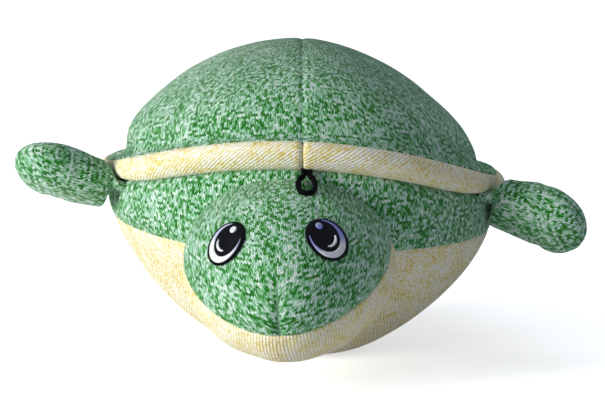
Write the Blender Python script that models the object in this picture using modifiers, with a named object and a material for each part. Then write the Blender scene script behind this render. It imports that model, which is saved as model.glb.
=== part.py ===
# A small plush turtle: knit cloth panels sewn over loose stuffing, with four flippers and
# a tail that flap on their root seams and a cord loop that swings at the front.
# Metres, +Z up. The turtle faces -Y and rests on its belly over the origin.

import math

import bmesh
import bpy
from mathutils import Matrix, Vector

# Cloth, stuffing and the gaps between sewn pieces
CLOTH = 0.0012
SEAM_GAP = 0.0006
FILL_GAP = 0.0003
LOBE_FILL_GAP = 0.0004
SEAT_GAP = 0.0003

# Body, measured over the cloth
BODY_WIDTH = 0.1240
BODY_LENGTH = 0.1200
BODY_HEIGHT = 0.0995
WIDEST_HEIGHT = 0.0480
BELLY_SEAM_DROP = 0.0045
BOWL_POWER = 1.55
REST_SAG = 0.0045
REST_SOFTNESS = 0.0020
REST_FLAT_DEPTH = 0.0005

# Shell: a dome that flares into a brim shelf, and the rolled band round its edge
BAND_RISE = 0.0035
BAND_HEIGHT = 0.0085
BAND_BULGE = 0.0040
BAND_TUCK = 0.0010
SHELF_OVERHANG = 0.0005
SHELF_WIDTH = 0.0095
SHELF_RISE = 0.0030
SHELF_DIP = 0.0012
DOME_POWER = 1.75

# How the soft body sits: the head lifts the band and presses the belly seam down in front,
# and the shell leans and slips to one side and hitches up the belly seam there
ARCH_RISE = 0.0140
SEAM_DIP = 0.0020
SHELL_LEAN = 0.0024
DOME_SHIFT = 0.0017
DOME_SHIFT_HEIGHT = 0.0100
DOME_SHIFT_REACH = 0.0120
BELLY_SHIFT = 0.0009
SIDE_SEAM_RISE = 0.0036
ROOT_PUSH = 0.0022
ROOT_PUSH_SPREAD = math.radians(13)
ROOT_PRESS = 0.0022

# Head, an egg whose back end is lost in the body
HEAD_WIDTH = 0.0635
HEAD_HEIGHT = 0.0520
HEAD_LENGTH = 0.0820
HEAD_SEAT = 0.0080
HEAD_DROP = 0.0114
HEAD_PITCH = math.radians(12)
HEAD_TURN = math.radians(4.5)
HEAD_ROLL = math.radians(2)
SNOUT_TAPER_SHARE = 0.16
MOUTH_RISE = 0.0052
MOUTH_TILT = math.radians(18)
DART_LENGTH = 0.0185
DART_WIDTH = 0.0008
DART_POINT_SHARE = 0.25

# Embroidered eyes: black patch, white crescent, and two highlights
EYE_SIDE_ANGLE = math.radians(38.3)
EYE_OFFSET_ANGLE = math.radians(-1.5)
EYE_RISE_ANGLE = math.radians(38)
EYE_SKEW_ANGLE = math.radians(1.5)
EYE_TILT = math.radians(-15)
EYE_WIDTH = 0.0137
EYE_HEIGHT = 0.0144
OUTLINE_WIDTH = 0.0007
CRESCENT_WIDTH = 0.0023
CRESCENT_START = math.radians(-175)
CRESCENT_END = math.radians(78)
PATCH_THICKNESS = 0.0006
HIGHLIGHT_THICKNESS = 0.0004
HIGHLIGHT_WIDTH = 0.0026
HIGHLIGHT_OUT = -0.0016
HIGHLIGHT_RISE = 0.0041
CURL_WIDTH = 0.0011
CURL_RADIUS = 0.0028
CURL_DROP = 0.0002
CURL_START = math.radians(-125)
CURL_END = math.radians(28)

# Flippers and tail: lengths run from the hinge line, which is the root seam
FRONT_GAP = 0.00065
FRONT_NOSE = 0.0016
FRONT_DROP = 0.0016
FRONT_ROOT_SHARE = 0.92
FRONT_TWIST_SHARE = 0.32
FRONT_SWELL_SHARE = 0.40
FRONT_TIP_SHARE = 0.60
REAR_GAP = 0.0003
REAR_NOSE = 0.0022
REAR_DROP = 0.0028
REAR_ROOT_SHARE = 0.86
REAR_TWIST_SHARE = 0.42
REAR_SWELL_SHARE = 0.46
REAR_TIP_SHARE = 0.56
CURL_DOWN_SHARE = 0.05
LEFT_FRONT_CURL_SHARE = 0.06
RIGHT_FRONT_CURL_SHARE = -0.07
FRONT_LENGTH = 0.0307
FRONT_WIDTH = 0.0214
FRONT_THICKNESS = 0.0140
LEFT_FRONT_TWIST = math.radians(-57)
RIGHT_FRONT_TWIST = math.radians(27)
REAR_LENGTH = 0.0250
REAR_WIDTH = 0.0180
REAR_THICKNESS = 0.0115
REAR_TWIST = math.radians(14)
TAIL_LENGTH = 0.0180
TAIL_WIDTH = 0.0130
TAIL_THICKNESS = 0.0090

# Where they are sewn on, as angles round the body from the head, and how they hang
FRONT_ANGLE = math.radians(71)
REAR_ANGLE = math.radians(144)
TAIL_ANGLE = math.radians(180)
RIGHT_FRONT_LIFT = math.radians(14)
LEFT_FRONT_LIFT = math.radians(-15.5)
REAR_LIFT = math.radians(-10)
TAIL_LIFT = math.radians(-14)

# Hanging loop, a doubled cord sewn in under the band
LOOP_CORD = 0.0016
LOOP_WIDTH = 0.0066
LOOP_LENGTH = 0.0090
LOOP_NECK = 0.0004
LOOP_END_SPACING = 0.0019
LOOP_DROP = 0.0012
LOOP_LIFT = math.radians(-31)
LOOP_ANGLE = math.radians(1.2)

# Facet counts
TURN_STEPS = 28
BOWL_STEPS = 6
DOME_STEPS = 6
BAND_STEPS = 5
HEAD_SEGMENTS = 24
HEAD_RINGS = 14
LOBE_SEGMENTS = 10
LOBE_RINGS = 8
NOSE_RINGS = 2
PATCH_SEGMENTS = 16
PATCH_RINGS = 6
LOOP_STEPS = 18
CORD_RESOLUTION = 1

UP = Vector((0, 0, 1))
MERGE_DISTANCE = 1e-6


def reset_scene():
    for obj in list(bpy.data.objects):
        bpy.data.objects.remove(obj)
    turtle = bpy.data.collections.new("plush_turtle")
    cutters = bpy.data.collections.new("cutters")
    for collection in (turtle, cutters):
        bpy.context.scene.collection.children.link(collection)
    return turtle, cutters


def make_material(name, colour, roughness):
    material = bpy.data.materials.new(name)
    material.use_nodes = True
    shader = material.node_tree.nodes["Principled BSDF"]
    shader.inputs["Base Color"].default_value = (*colour, 1.0)
    shader.inputs["Roughness"].default_value = roughness
    shader.inputs["Metallic"].default_value = 0.0
    return material


def make_object(name, bm, material, collection, parent=None):
    bmesh.ops.recalc_face_normals(bm, faces=bm.faces)
    is_closed = not any(edge.is_boundary for edge in bm.edges)
    if is_closed and bm.calc_volume(signed=True) < 0:
        bmesh.ops.reverse_faces(bm, faces=bm.faces)
    mesh = bpy.data.meshes.new(name)
    bm.to_mesh(mesh)
    bm.free()
    mesh.shade_smooth()
    obj = bpy.data.objects.new(name, mesh)
    obj.data.materials.append(material)
    obj.parent = parent
    collection.objects.link(obj)
    return obj


def make_cutter(name, bm, material, collection, parent=None):
    cutter = make_object(name, bm, material, collection, parent)
    cutter.hide_render = True
    cutter.display_type = "WIRE"
    return cutter


def make_frame(name, place, collection):
    frame = bpy.data.objects.new(name, None)
    frame.matrix_world = place
    collection.objects.link(frame)
    return frame


def add_cloth_thickness(obj):
    lining = obj.modifiers.new("cloth", "SOLIDIFY")
    lining.thickness = CLOTH
    lining.offset = -1.0


def cut_by(obj, cutter):
    cut = obj.modifiers.new("seat", "BOOLEAN")
    cut.operation = "DIFFERENCE"
    cut.solver = "EXACT"
    cut.object = cutter


def keep_half(bm, direction):
    # Cuts a surface by the plane through the origin, half a seam gap to the kept side
    geometry = bm.verts[:] + bm.edges[:] + bm.faces[:]
    bmesh.ops.bisect_plane(
        bm, geom=geometry, plane_co=direction * SEAM_GAP / 2, plane_no=direction, clear_inner=True
    )


def smooth_step(value):
    share = min(1.0, max(0.0, value))
    return share * share * (3 - 2 * share)


def root_of(value, power=0.5):
    return max(0.0, value) ** power


# Body outline, as (radius, height) points from the top of the shell to the belly


def shelf_edge():
    return BODY_WIDTH / 2 + SHELF_OVERHANG, WIDEST_HEIGHT + BAND_RISE + BAND_HEIGHT


def dome_outline():
    edge_radius, edge_height = shelf_edge()
    base_radius, base_height = edge_radius - SHELF_WIDTH, edge_height + SHELF_RISE
    points = [(0.0, BODY_HEIGHT)]
    for step in range(1, DOME_STEPS + 1):
        angle = math.pi / 2 * (1 - step / DOME_STEPS)
        across = base_radius * root_of(math.cos(angle), 2 / DOME_POWER)
        up = (BODY_HEIGHT - base_height) * root_of(math.sin(angle), 2 / DOME_POWER)
        points.append((across, base_height + up))
    middle_height = (base_height + edge_height) / 2 - SHELF_DIP
    points.append(((base_radius + edge_radius) / 2, middle_height))
    points.append((edge_radius, edge_height))
    return points


def band_outline():
    top = Vector(shelf_edge())
    bottom = Vector((BODY_WIDTH / 2 - BAND_TUCK, WIDEST_HEIGHT + BAND_RISE))
    run = (bottom - top).normalized()
    outward = Vector((-run.y, run.x))
    points = []
    for step in range(1, BAND_STEPS):
        share = step / BAND_STEPS
        bulge = BAND_BULGE * root_of(math.sin(math.pi * share), 0.7)
        points.append(tuple(top.lerp(bottom, share) + outward * bulge))
    points.append(tuple(bottom))
    return points


def bowl_angle(height):
    drop_share = (WIDEST_HEIGHT - height) / (WIDEST_HEIGHT + REST_SAG)
    return math.asin(root_of(drop_share, BOWL_POWER / 2))


def bowl_outline():
    # The belly settles onto a small flat where the toy rests
    flat_edge = (4 * REST_FLAT_DEPTH**2 - REST_SOFTNESS**2) / (4 * REST_FLAT_DEPTH)
    seam_angle = bowl_angle(WIDEST_HEIGHT - BELLY_SEAM_DROP)
    flat_angle = bowl_angle(flat_edge)
    points = [(BODY_WIDTH / 2, WIDEST_HEIGHT)]
    for step in range(BOWL_STEPS + 1):
        angle = seam_angle + (flat_angle - seam_angle) * step / BOWL_STEPS
        across = BODY_WIDTH / 2 * root_of(math.cos(angle), 2 / BOWL_POWER)
        down = (WIDEST_HEIGHT + REST_SAG) * root_of(math.sin(angle), 2 / BOWL_POWER)
        height = WIDEST_HEIGHT - down
        settled = (height + math.hypot(height, REST_SOFTNESS)) / 2 - REST_FLAT_DEPTH
        points.append((across, settled if step < BOWL_STEPS else 0.0))
    points.append((0.0, 0.0))
    return points


def offset_outline(points, inward):
    moved = [(0.0, points[0][1] - inward)]
    for before, here, after in zip(points, points[1:], points[2:]):
        arriving = (Vector(here) - Vector(before)).normalized()
        leaving = (Vector(after) - Vector(here)).normalized()
        first_normal = Vector((-arriving.y, arriving.x))
        second_normal = Vector((-leaving.y, leaving.x))
        middle = (first_normal + second_normal).normalized()
        reach = inward / max(middle.dot(first_normal), 0.5)
        moved.append(tuple(Vector(here) - middle * reach))
    moved.append((0.0, points[-1][1] + inward))
    return moved


class BodyOutline:
    # The whole outline over the cloth and under it, with the places of its three seams
    def __init__(self):
        dome = dome_outline()
        band = band_outline()
        self.outer = dome + band + bowl_outline()
        self.inner = offset_outline(self.outer, CLOTH)
        self.brim = len(dome) - 1
        self.tuck = self.brim + len(band)
        self.belly = self.tuck + 2
        self.bottom = len(self.outer) - 1

    def stretch(self, points, first, last):
        # The points between two seams, drawn back from each seam by half its gap
        part = [Vector(point) for point in points[first : last + 1]]
        if first > 0:
            part[0] += (part[1] - part[0]).normalized() * SEAM_GAP / 2
        if last < self.bottom:
            part[-1] += (part[-2] - part[-1]).normalized() * SEAM_GAP / 2
        return [tuple(point) for point in part]

    def section(self, first, last):
        return self.stretch(self.outer, first, last) + self.stretch(self.inner, first, last)[::-1]


def settle(point):
    # Where a point of the round body goes once the head and the stuffing have shaped it
    x, y, z = point
    seam_height = WIDEST_HEIGHT - BELLY_SEAM_DROP
    below = smooth_step(z / seam_height)
    above = smooth_step((z - seam_height) / (BELLY_SEAM_DROP + BAND_RISE))
    forward = (min(y, 0.0) / (BODY_LENGTH / 2)) ** 2
    rise = ARCH_RISE * above - SEAM_DIP * below * (1 - above)
    lean = SHELL_LEAN * x / (BODY_WIDTH / 2) * below
    hitch = SIDE_SEAM_RISE * (min(x, 0.0) / (BODY_WIDTH / 2)) ** 2 * below * (1 - above)
    domed = smooth_step((z - shelf_edge()[1]) / DOME_SHIFT_HEIGHT)
    shift = DOME_SHIFT * domed * x**2 / (x**2 + DOME_SHIFT_REACH**2)
    shift += BELLY_SHIFT * below * (1 - above)
    push = ROOT_PUSH * root_nearness(x, y) * tuck_nearness(z)
    pressed = 1 - ROOT_PRESS * root_nearness(x, y) * band_middle(z) / (BODY_WIDTH / 2)
    return Vector(((x - shift) * pressed, y * pressed, z + rise * forward + hitch + push - lean))


def root_nearness(x, y):
    # One beside a front flipper's root, falling to none round the body
    angle = math.atan2(abs(x), -y * BODY_WIDTH / BODY_LENGTH)
    return math.exp(-(((angle - FRONT_ANGLE) / ROOT_PUSH_SPREAD) ** 2))


def band_middle(z):
    # One halfway up the band, falling to none at its two seams
    up = min(1.0, max(0.0, (z - WIDEST_HEIGHT - BAND_RISE) / BAND_HEIGHT))
    return 4 * up * (1 - up)


def tuck_nearness(z):
    # One at the seam under the band, falling to none at the band's top and at the belly seam
    tuck_height = WIDEST_HEIGHT + BAND_RISE
    seam_height = WIDEST_HEIGHT - BELLY_SEAM_DROP
    above_seam = smooth_step((z - seam_height) / (tuck_height - seam_height))
    above_tuck = smooth_step((z - tuck_height) / BAND_HEIGHT)
    return above_seam - above_tuck


def turned_surface(outline):
    # Turns a closed outline round Z and draws it in to the body's length
    bm = bmesh.new()
    half_step = Matrix.Rotation(math.pi / TURN_STEPS, 3, "Z")
    corners = [bm.verts.new(half_step @ Vector((radius, 0, height))) for radius, height in outline]
    edges = []
    for first, second in zip(corners, corners[1:] + corners[:1]):
        on_axis = max(first.co.xy.length, second.co.xy.length) < MERGE_DISTANCE
        if not on_axis:
            edges.append(bm.edges.new((first, second)))
    bmesh.ops.spin(
        bm, geom=corners + edges, cent=(0, 0, 0), axis=UP, angle=math.tau, steps=TURN_STEPS, use_merge=True
    )
    bmesh.ops.remove_doubles(bm, verts=bm.verts, dist=MERGE_DISTANCE)
    bmesh.ops.scale(bm, vec=(1, BODY_LENGTH / BODY_WIDTH, 1), verts=bm.verts)
    return bm


def make_turned(name, outline, sides, material, collection, maker=make_object):
    bm = turned_surface(outline)
    for side in sides:
        keep_half(bm, side)
        bmesh.ops.holes_fill(bm, edges=[edge for edge in bm.edges if edge.is_boundary], sides=0)
    for vert in bm.verts:
        vert.co = settle(vert.co)
    return maker(name, bm, material, collection)


def make_body(outline, materials, turtle):
    rows = (("front", Vector((0, -1, 0))), ("rear", Vector((0, 1, 0))))
    gore = outline.section(0, outline.brim)
    band = outline.section(outline.brim, outline.tuck)
    wall = outline.section(outline.tuck, outline.belly)
    belly = outline.section(outline.belly, outline.bottom)
    for side_name, side in (("left", Vector((1, 0, 0))), ("right", Vector((-1, 0, 0)))):
        for row_name, row in rows:
            name = f"shell_gore_{row_name}_{side_name}"
            make_turned(name, gore, (side, row), materials["green"], turtle)
        make_turned(f"shell_band_{side_name}", band, (side,), materials["yellow"], turtle)
        make_turned(f"body_side_{side_name}", wall, (side,), materials["green"], turtle)
    make_turned("belly_panel", belly, (), materials["yellow"], turtle)
    filling = offset_outline(outline.outer, CLOTH + FILL_GAP)
    make_turned("body_stuffing", filling, (), materials["stuffing"], turtle)


# Head


def head_place():
    turn = Matrix.Rotation(-HEAD_TURN, 4, "Z")
    roll = Matrix.Rotation(-HEAD_ROLL, 4, "Y")
    pitch = Matrix.Rotation(HEAD_PITCH, 4, "X")
    forward = BODY_LENGTH / 2 - HEAD_SEAT
    middle = Matrix.Translation((0, -forward, WIDEST_HEIGHT - HEAD_DROP))
    return turn @ middle @ roll @ pitch


def snout_taper(forward):
    return 1 - SNOUT_TAPER_SHARE * max(0.0, forward) ** 2


def head_point(direction):
    # The cloth's face in the head's own axes, for a unit direction from the middle
    across = direction.x * HEAD_WIDTH / 2 * snout_taper(-direction.y)
    return Vector((across, direction.y * HEAD_LENGTH / 2, direction.z * HEAD_HEIGHT / 2))


def head_normal(direction):
    first = direction.orthogonal().normalized() / HEAD_SEGMENTS**2
    second = direction.cross(first)
    here = head_point(direction)
    along = head_point((direction + first).normalized()) - here
    across = head_point((direction + second).normalized()) - here
    return along.cross(across).normalized()


def head_surface(direction, lift):
    return head_point(direction) + head_normal(direction) * lift


def head_ball(lift):
    bm = bmesh.new()
    bmesh.ops.create_uvsphere(bm, u_segments=HEAD_SEGMENTS, v_segments=HEAD_RINGS, radius=1.0)
    for vert in bm.verts:
        vert.co = head_surface(vert.co.normalized(), lift)
    return bm


def make_head_panel(name, kept, material, turtle, frame, body_cutter):
    # A panel is the part of the head on one side of the mouth seam
    bm = head_ball(0.0)
    geometry = bm.verts[:] + bm.edges[:] + bm.faces[:]
    seam_point = Vector((0, 0, MOUTH_RISE)) + kept * SEAM_GAP / 2
    bmesh.ops.bisect_plane(bm, geom=geometry, plane_co=seam_point, plane_no=kept, clear_inner=True)
    panel = make_object(name, bm, material, turtle, frame)
    add_cloth_thickness(panel)
    cut_by(panel, body_cutter)
    return panel


def make_dart_cutter(cutters, frame, material):
    # A narrow wedge that opens the crown from the mouth seam up to the dart's point
    bm = bmesh.new()
    bmesh.ops.create_cube(bm, size=1.0)
    for vert in bm.verts:
        share = DART_POINT_SHARE if vert.co.z > 0 else 1.0
        vert.co.x *= DART_WIDTH * share
        vert.co.y *= HEAD_LENGTH / 2
        vert.co.z *= 2 * DART_LENGTH
    seam_height = MOUTH_RISE - math.tan(MOUTH_TILT) * HEAD_LENGTH / 2
    bmesh.ops.translate(bm, vec=(0, -HEAD_LENGTH / 2, seam_height), verts=bm.verts)
    return make_cutter("dart_cutter", bm, material, cutters, frame)


def make_head(materials, turtle, cutters, body_cutter):
    frame = make_frame("head_middle", head_place(), turtle)
    above = Vector((0, -math.sin(MOUTH_TILT), math.cos(MOUTH_TILT)))
    crown = make_head_panel("head_crown", above, materials["green"], turtle, frame, body_cutter)
    cut_by(crown, make_dart_cutter(cutters, frame, materials["green"]))
    make_head_panel("head_chin", -above, materials["yellow"], turtle, frame, body_cutter)
    bm = head_ball(-CLOTH - FILL_GAP)
    stuffing = make_object("head_stuffing", bm, materials["stuffing"], turtle, frame)
    cut_by(stuffing, body_cutter)
    return frame


# Eyes, stitched through the crown


class EyePlace:
    # Maps millimetre marks on the eye, out towards the cheek and up, onto the crown
    def __init__(self, side):
        self.side = side
        angle = EYE_SIDE_ANGLE * side + EYE_OFFSET_ANGLE
        rise = EYE_RISE_ANGLE + EYE_SKEW_ANGLE * side
        middle = Vector((math.sin(angle), -math.cos(angle), math.tan(rise))).normalized()
        self.centre = head_point(middle)
        out = head_normal(middle)
        level = UP.cross(out).normalized() * side
        tilt = Matrix.Rotation(EYE_TILT * side, 3, out)
        self.across = tilt @ level
        self.up = tilt @ out.cross(level * side)

    def surface(self, u, v, lift):
        near = self.centre + self.across * u + self.up * v
        forward = -near.y / (HEAD_LENGTH / 2)
        scaled_x = near.x / (HEAD_WIDTH / 2 * snout_taper(forward))
        direction = Vector((scaled_x, -forward, near.z / (HEAD_HEIGHT / 2))).normalized()
        return head_surface(direction, lift)


def make_patch(name, place, marks, lift, thickness, material, turtle, frame):
    # A pad of thread with a flat top and a rounded edge; marks maps the unit disc to u, v
    bm = bmesh.new()
    bmesh.ops.create_uvsphere(bm, u_segments=PATCH_SEGMENTS, v_segments=PATCH_RINGS, radius=1.0)
    for vert in bm.verts:
        p, q, level = vert.co
        height = math.copysign(root_of(abs(level), 0.4), level) if abs(level) > MERGE_DISTANCE else 0.0
        u, v = marks(p, q)
        vert.co = place.surface(u, v, lift + thickness * (1 + height) / 2)
    return make_object(name, bm, material, turtle, frame)


def disc_marks(u, v, half_width, half_height):
    return lambda p, q: (u + half_width * p, v + half_height * q)


def arc_marks(u, v, half_width, half_height, start, end, width):
    # A strip with pointed ends along the inside of an ellipse, its angles measured from the cheek side
    def marks(p, q):
        angle = (start + end) / 2 + (end - start) / 2 * p
        reach = 1 + (q - root_of(1 - p**2)) * width / 2 / half_width
        return u + half_width * reach * math.cos(angle), v + half_height * reach * math.sin(angle)

    return marks


def make_eye(side_name, side, materials, turtle, frame):
    place = EyePlace(side)
    black, white = materials["black"], materials["white"]
    half_width, half_height = EYE_WIDTH / 2, EYE_HEIGHT / 2
    patch = disc_marks(0, 0, half_width, half_height)
    make_patch(f"eye_patch_{side_name}", place, patch, SEAT_GAP, PATCH_THICKNESS, black, turtle, frame)
    lift = SEAT_GAP + PATCH_THICKNESS + SEAT_GAP
    inner_width, inner_height = half_width - OUTLINE_WIDTH, half_height - OUTLINE_WIDTH
    crescent = arc_marks(0, 0, inner_width, inner_height, CRESCENT_START, CRESCENT_END, CRESCENT_WIDTH)
    dot = disc_marks(HIGHLIGHT_OUT, HIGHLIGHT_RISE, HIGHLIGHT_WIDTH / 2, HIGHLIGHT_WIDTH / 2)
    curl = arc_marks(0, -CURL_DROP, CURL_RADIUS, CURL_RADIUS, CURL_START, CURL_END, CURL_WIDTH)
    for name, marks in (("white", crescent), ("highlight", dot), ("curl", curl)):
        make_patch(
            f"eye_{name}_{side_name}", place, marks, lift, HIGHLIGHT_THICKNESS, white, turtle, frame
        )


# Flippers and tail


class LobeShape:
    # How a lobe leaves its seam and fills out: gap, nose and drop are lengths, the rest shares of it
    def __init__(self, gap, nose, drop, root_share, twist_share, swell_share, tip_share):
        self.gap = gap
        self.nose = nose
        self.drop = drop
        self.root_share = root_share
        self.twist_share = twist_share
        self.swell_share = swell_share
        self.tip_share = tip_share


class Lobe:
    # A stuffed lobe along X from its hinge line, which lies on Y
    def __init__(self, shape, length, width, thickness, twist=0.0, curl=CURL_DOWN_SHARE):
        self.shape = shape
        self.length = length
        self.width = width
        self.thickness = thickness
        self.twist = twist
        self.curl = curl

    def tip_size(self, x, sunk):
        tip_length = self.length * (1 - self.shape.tip_share)
        past = (x - self.length * self.shape.tip_share) / (tip_length - sunk)
        return root_of(1 - max(0.0, past) ** 2)

    def half_thickness(self, x, sunk):
        if x <= 0:
            return root_of(self.shape.nose**2 - x**2)
        swell = smooth_step(x / (self.shape.swell_share * self.length))
        full = self.shape.nose + (self.thickness / 2 - self.shape.nose) * swell - sunk
        return full * self.tip_size(x, sunk)

    def half_width(self, x, sunk):
        root = self.width / 2 * self.shape.root_share
        if x <= 0:
            return root - self.shape.nose + self.half_thickness(x, sunk)
        spread = smooth_step(x / (self.shape.tip_share * self.length))
        full = root + (self.width / 2 - root) * spread - sunk
        return full * self.tip_size(x, sunk)

    def station(self, level):
        # Rings of the ball become stations: some round the root nose, the rest out to the tip
        share = math.acos(max(-1.0, min(1.0, level))) / math.pi * LOBE_RINGS
        if share < NOSE_RINGS:
            return -self.shape.nose * math.cos(math.pi / 2 * share / NOSE_RINGS)
        return self.length * math.sin(math.pi / 2 * (share - NOSE_RINGS) / (LOBE_RINGS - NOSE_RINGS))

    def sunk_station(self, level, sunk):
        first = self.shape.nose + sunk
        return first + (self.length - sunk - first) * (1 - level) / 2

    def add_surface(self, bm, sunk):
        # The lobe's face, or a face that lies sunk under it and starts past the root seam
        ball = bmesh.ops.create_uvsphere(
            bm, u_segments=LOBE_SEGMENTS, v_segments=LOBE_RINGS, radius=1.0
        )
        turn = Matrix.Rotation(math.pi / LOBE_SEGMENTS, 3, "Z")
        for vert in ball["verts"]:
            level = vert.co.z
            around = turn @ vert.co
            around.z = 0
            x = self.station(level) if sunk == 0 else self.sunk_station(level, sunk)
            if around.length < MERGE_DISTANCE:
                vert.co = (x, 0, 0)
                continue
            end = around.length**0.5 if sunk > 0 and level > 0 else 1.0
            around.normalize()
            half_width = self.half_width(x, sunk) * end
            half_thickness = self.half_thickness(x, sunk) * end
            vert.co = (x, around.x * half_width, around.y * half_thickness)

    def bend(self, bm):
        for vert in bm.verts:
            share = smooth_step(vert.co.x / (self.shape.twist_share * self.length))
            vert.co = Matrix.Rotation(self.twist * share, 3, "X") @ vert.co
            vert.co.z -= self.curl * self.length * max(0.0, vert.co.x / self.length) ** 2


def root_point(outline, angle):
    # The seam under the band, at an angle round the body from the head
    radius, height = outline.outer[outline.tuck]
    y = -math.cos(angle) * radius * BODY_LENGTH / BODY_WIDTH
    return settle(Vector((math.sin(angle) * radius, y, height)))


def hinge_place(outline, angle, root_width, lift, standoff, drop):
    # X runs out from the body, Y along the seam and Z up, turned up by the lift about Y
    spread = root_width / BODY_WIDTH
    along = (root_point(outline, angle + spread) - root_point(outline, angle - spread)).normalized()
    out = along.cross(UP).normalized()
    up = out.cross(along).normalized()
    origin = root_point(outline, angle) + out * standoff - up * drop
    place = Matrix((out, along, up)).transposed().to_4x4()
    place.translation = origin
    return place @ Matrix.Rotation(-lift, 4, "Y")


def report_hinge(name, place):
    origin = [round(value, 5) for value in place.translation]
    axis = [round(value, 5) for value in place.col[1].xyz]
    print(f"hinge {name}: position {origin} axis {axis}")


def make_lobe(name, lobe, outline, angle, lift, materials, turtle):
    shape = lobe.shape
    standoff = BAND_TUCK * shape.drop / BAND_RISE + shape.nose + shape.gap
    place = hinge_place(outline, angle, lobe.width * shape.root_share, lift, standoff, shape.drop)
    report_hinge(name, place)
    hinge = make_frame(f"{name}_hinge", place, turtle)
    for panel_name, kept in (("upper", UP), ("lower", -UP)):
        bm = bmesh.new()
        lobe.add_surface(bm, 0)
        lobe.add_surface(bm, CLOTH)
        keep_half(bm, kept)
        rims = [edge for edge in bm.edges if edge.is_boundary]
        bmesh.ops.triangle_fill(bm, edges=rims, use_beauty=True, normal=kept)
        lobe.bend(bm)
        make_object(f"{name}_{panel_name}", bm, materials["green"], turtle, hinge)
    bm = bmesh.new()
    lobe.add_surface(bm, CLOTH + LOBE_FILL_GAP)
    lobe.bend(bm)
    make_object(f"{name}_stuffing", bm, materials["stuffing"], turtle, hinge)


def make_limbs(outline, materials, turtle):
    front_shape = LobeShape(
        FRONT_GAP,
        FRONT_NOSE,
        FRONT_DROP,
        FRONT_ROOT_SHARE,
        FRONT_TWIST_SHARE,
        FRONT_SWELL_SHARE,
        FRONT_TIP_SHARE,
    )
    rear_shape = LobeShape(
        REAR_GAP, REAR_NOSE, REAR_DROP, REAR_ROOT_SHARE, REAR_TWIST_SHARE, REAR_SWELL_SHARE, REAR_TIP_SHARE
    )
    left = ("left", 1, LEFT_FRONT_LIFT, LEFT_FRONT_TWIST, LEFT_FRONT_CURL_SHARE)
    right = ("right", -1, RIGHT_FRONT_LIFT, RIGHT_FRONT_TWIST, RIGHT_FRONT_CURL_SHARE)
    for side_name, side, front_lift, front_twist, front_curl in (left, right):
        front = Lobe(front_shape, FRONT_LENGTH, FRONT_WIDTH, FRONT_THICKNESS, front_twist, front_curl)
        rear = Lobe(rear_shape, REAR_LENGTH, REAR_WIDTH, REAR_THICKNESS, REAR_TWIST * side)
        front_angle, rear_angle = FRONT_ANGLE * side, REAR_ANGLE * side
        make_lobe(f"front_flipper_{side_name}", front, outline, front_angle, front_lift, materials, turtle)
        make_lobe(f"rear_flipper_{side_name}", rear, outline, rear_angle, REAR_LIFT, materials, turtle)
    tail = Lobe(rear_shape, TAIL_LENGTH, TAIL_WIDTH, TAIL_THICKNESS)
    make_lobe("tail", tail, outline, TAIL_ANGLE, TAIL_LIFT, materials, turtle)


# Hanging loop


def make_loop(outline, material, turtle):
    radius = LOOP_CORD / 2
    standoff = BAND_TUCK + radius + SEAT_GAP
    place = hinge_place(outline, LOOP_ANGLE, LOOP_WIDTH, LOOP_LIFT, standoff, LOOP_DROP)
    report_hinge("hang_loop", place)
    hinge = make_frame("hang_loop_hinge", place, turtle)
    half_width = LOOP_WIDTH / 2 - radius
    half_length = (LOOP_LENGTH - LOOP_NECK) / 2 - radius
    middle = LOOP_LENGTH - radius - half_length
    opening = math.asin(LOOP_END_SPACING / 2 / half_width)
    points = [Vector((0, -LOOP_END_SPACING / 2, 0))]
    for step in range(LOOP_STEPS + 1):
        angle = opening + (math.tau - 2 * opening) * step / LOOP_STEPS
        points.append(Vector((middle - half_length * math.cos(angle), -half_width * math.sin(angle), 0)))
    points.append(Vector((0, LOOP_END_SPACING / 2, 0)))
    cord = bpy.data.curves.new("hang_loop_path", "CURVE")
    cord.dimensions = "3D"
    cord.bevel_depth = radius
    cord.bevel_resolution = CORD_RESOLUTION
    cord.use_fill_caps = True
    path = cord.splines.new("POLY")
    path.points.add(len(points) - 1)
    for point, target in zip(points, path.points):
        target.co = (*point, 1.0)
    path_object = bpy.data.objects.new("hang_loop_path", cord)
    turtle.objects.link(path_object)
    depsgraph = bpy.context.evaluated_depsgraph_get()
    swept = bpy.data.meshes.new_from_object(path_object.evaluated_get(depsgraph))
    bm = bmesh.new()
    bm.from_mesh(swept)
    bmesh.ops.remove_doubles(bm, verts=bm.verts, dist=MERGE_DISTANCE)
    bpy.data.objects.remove(path_object)
    return make_object("hang_loop", bm, material, turtle, hinge)


def main():
    turtle, cutters = reset_scene()
    materials = {
        "green": make_material("green_marl_knit", (0.16, 0.45, 0.22), 0.9),
        "yellow": make_material("yellow_marl_knit", (0.85, 0.68, 0.32), 0.9),
        "black": make_material("black_thread", (0.012, 0.012, 0.02), 0.6),
        "white": make_material("white_thread", (0.8, 0.82, 0.88), 0.6),
        "cord": make_material("black_cord", (0.01, 0.01, 0.012), 0.7),
        "stuffing": make_material("polyester_stuffing", (0.85, 0.85, 0.85), 0.95),
    }
    outline = BodyOutline()
    make_body(outline, materials, turtle)
    grown = offset_outline(outline.outer, -SEAT_GAP)
    body_cutter = make_turned("body_cutter", grown, (), materials["green"], cutters, make_cutter)
    head_frame = make_head(materials, turtle, cutters, body_cutter)
    for side_name, side in (("left", 1), ("right", -1)):
        make_eye(side_name, side, materials, turtle, head_frame)
    make_limbs(outline, materials, turtle)
    make_loop(outline, materials["cord"], turtle)


main()
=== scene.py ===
import math
from functools import partial

import bmesh
import bpy
import numpy as np
from mathutils import Matrix, Vector, noise
from mathutils.bvhtree import BVHTree


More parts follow.
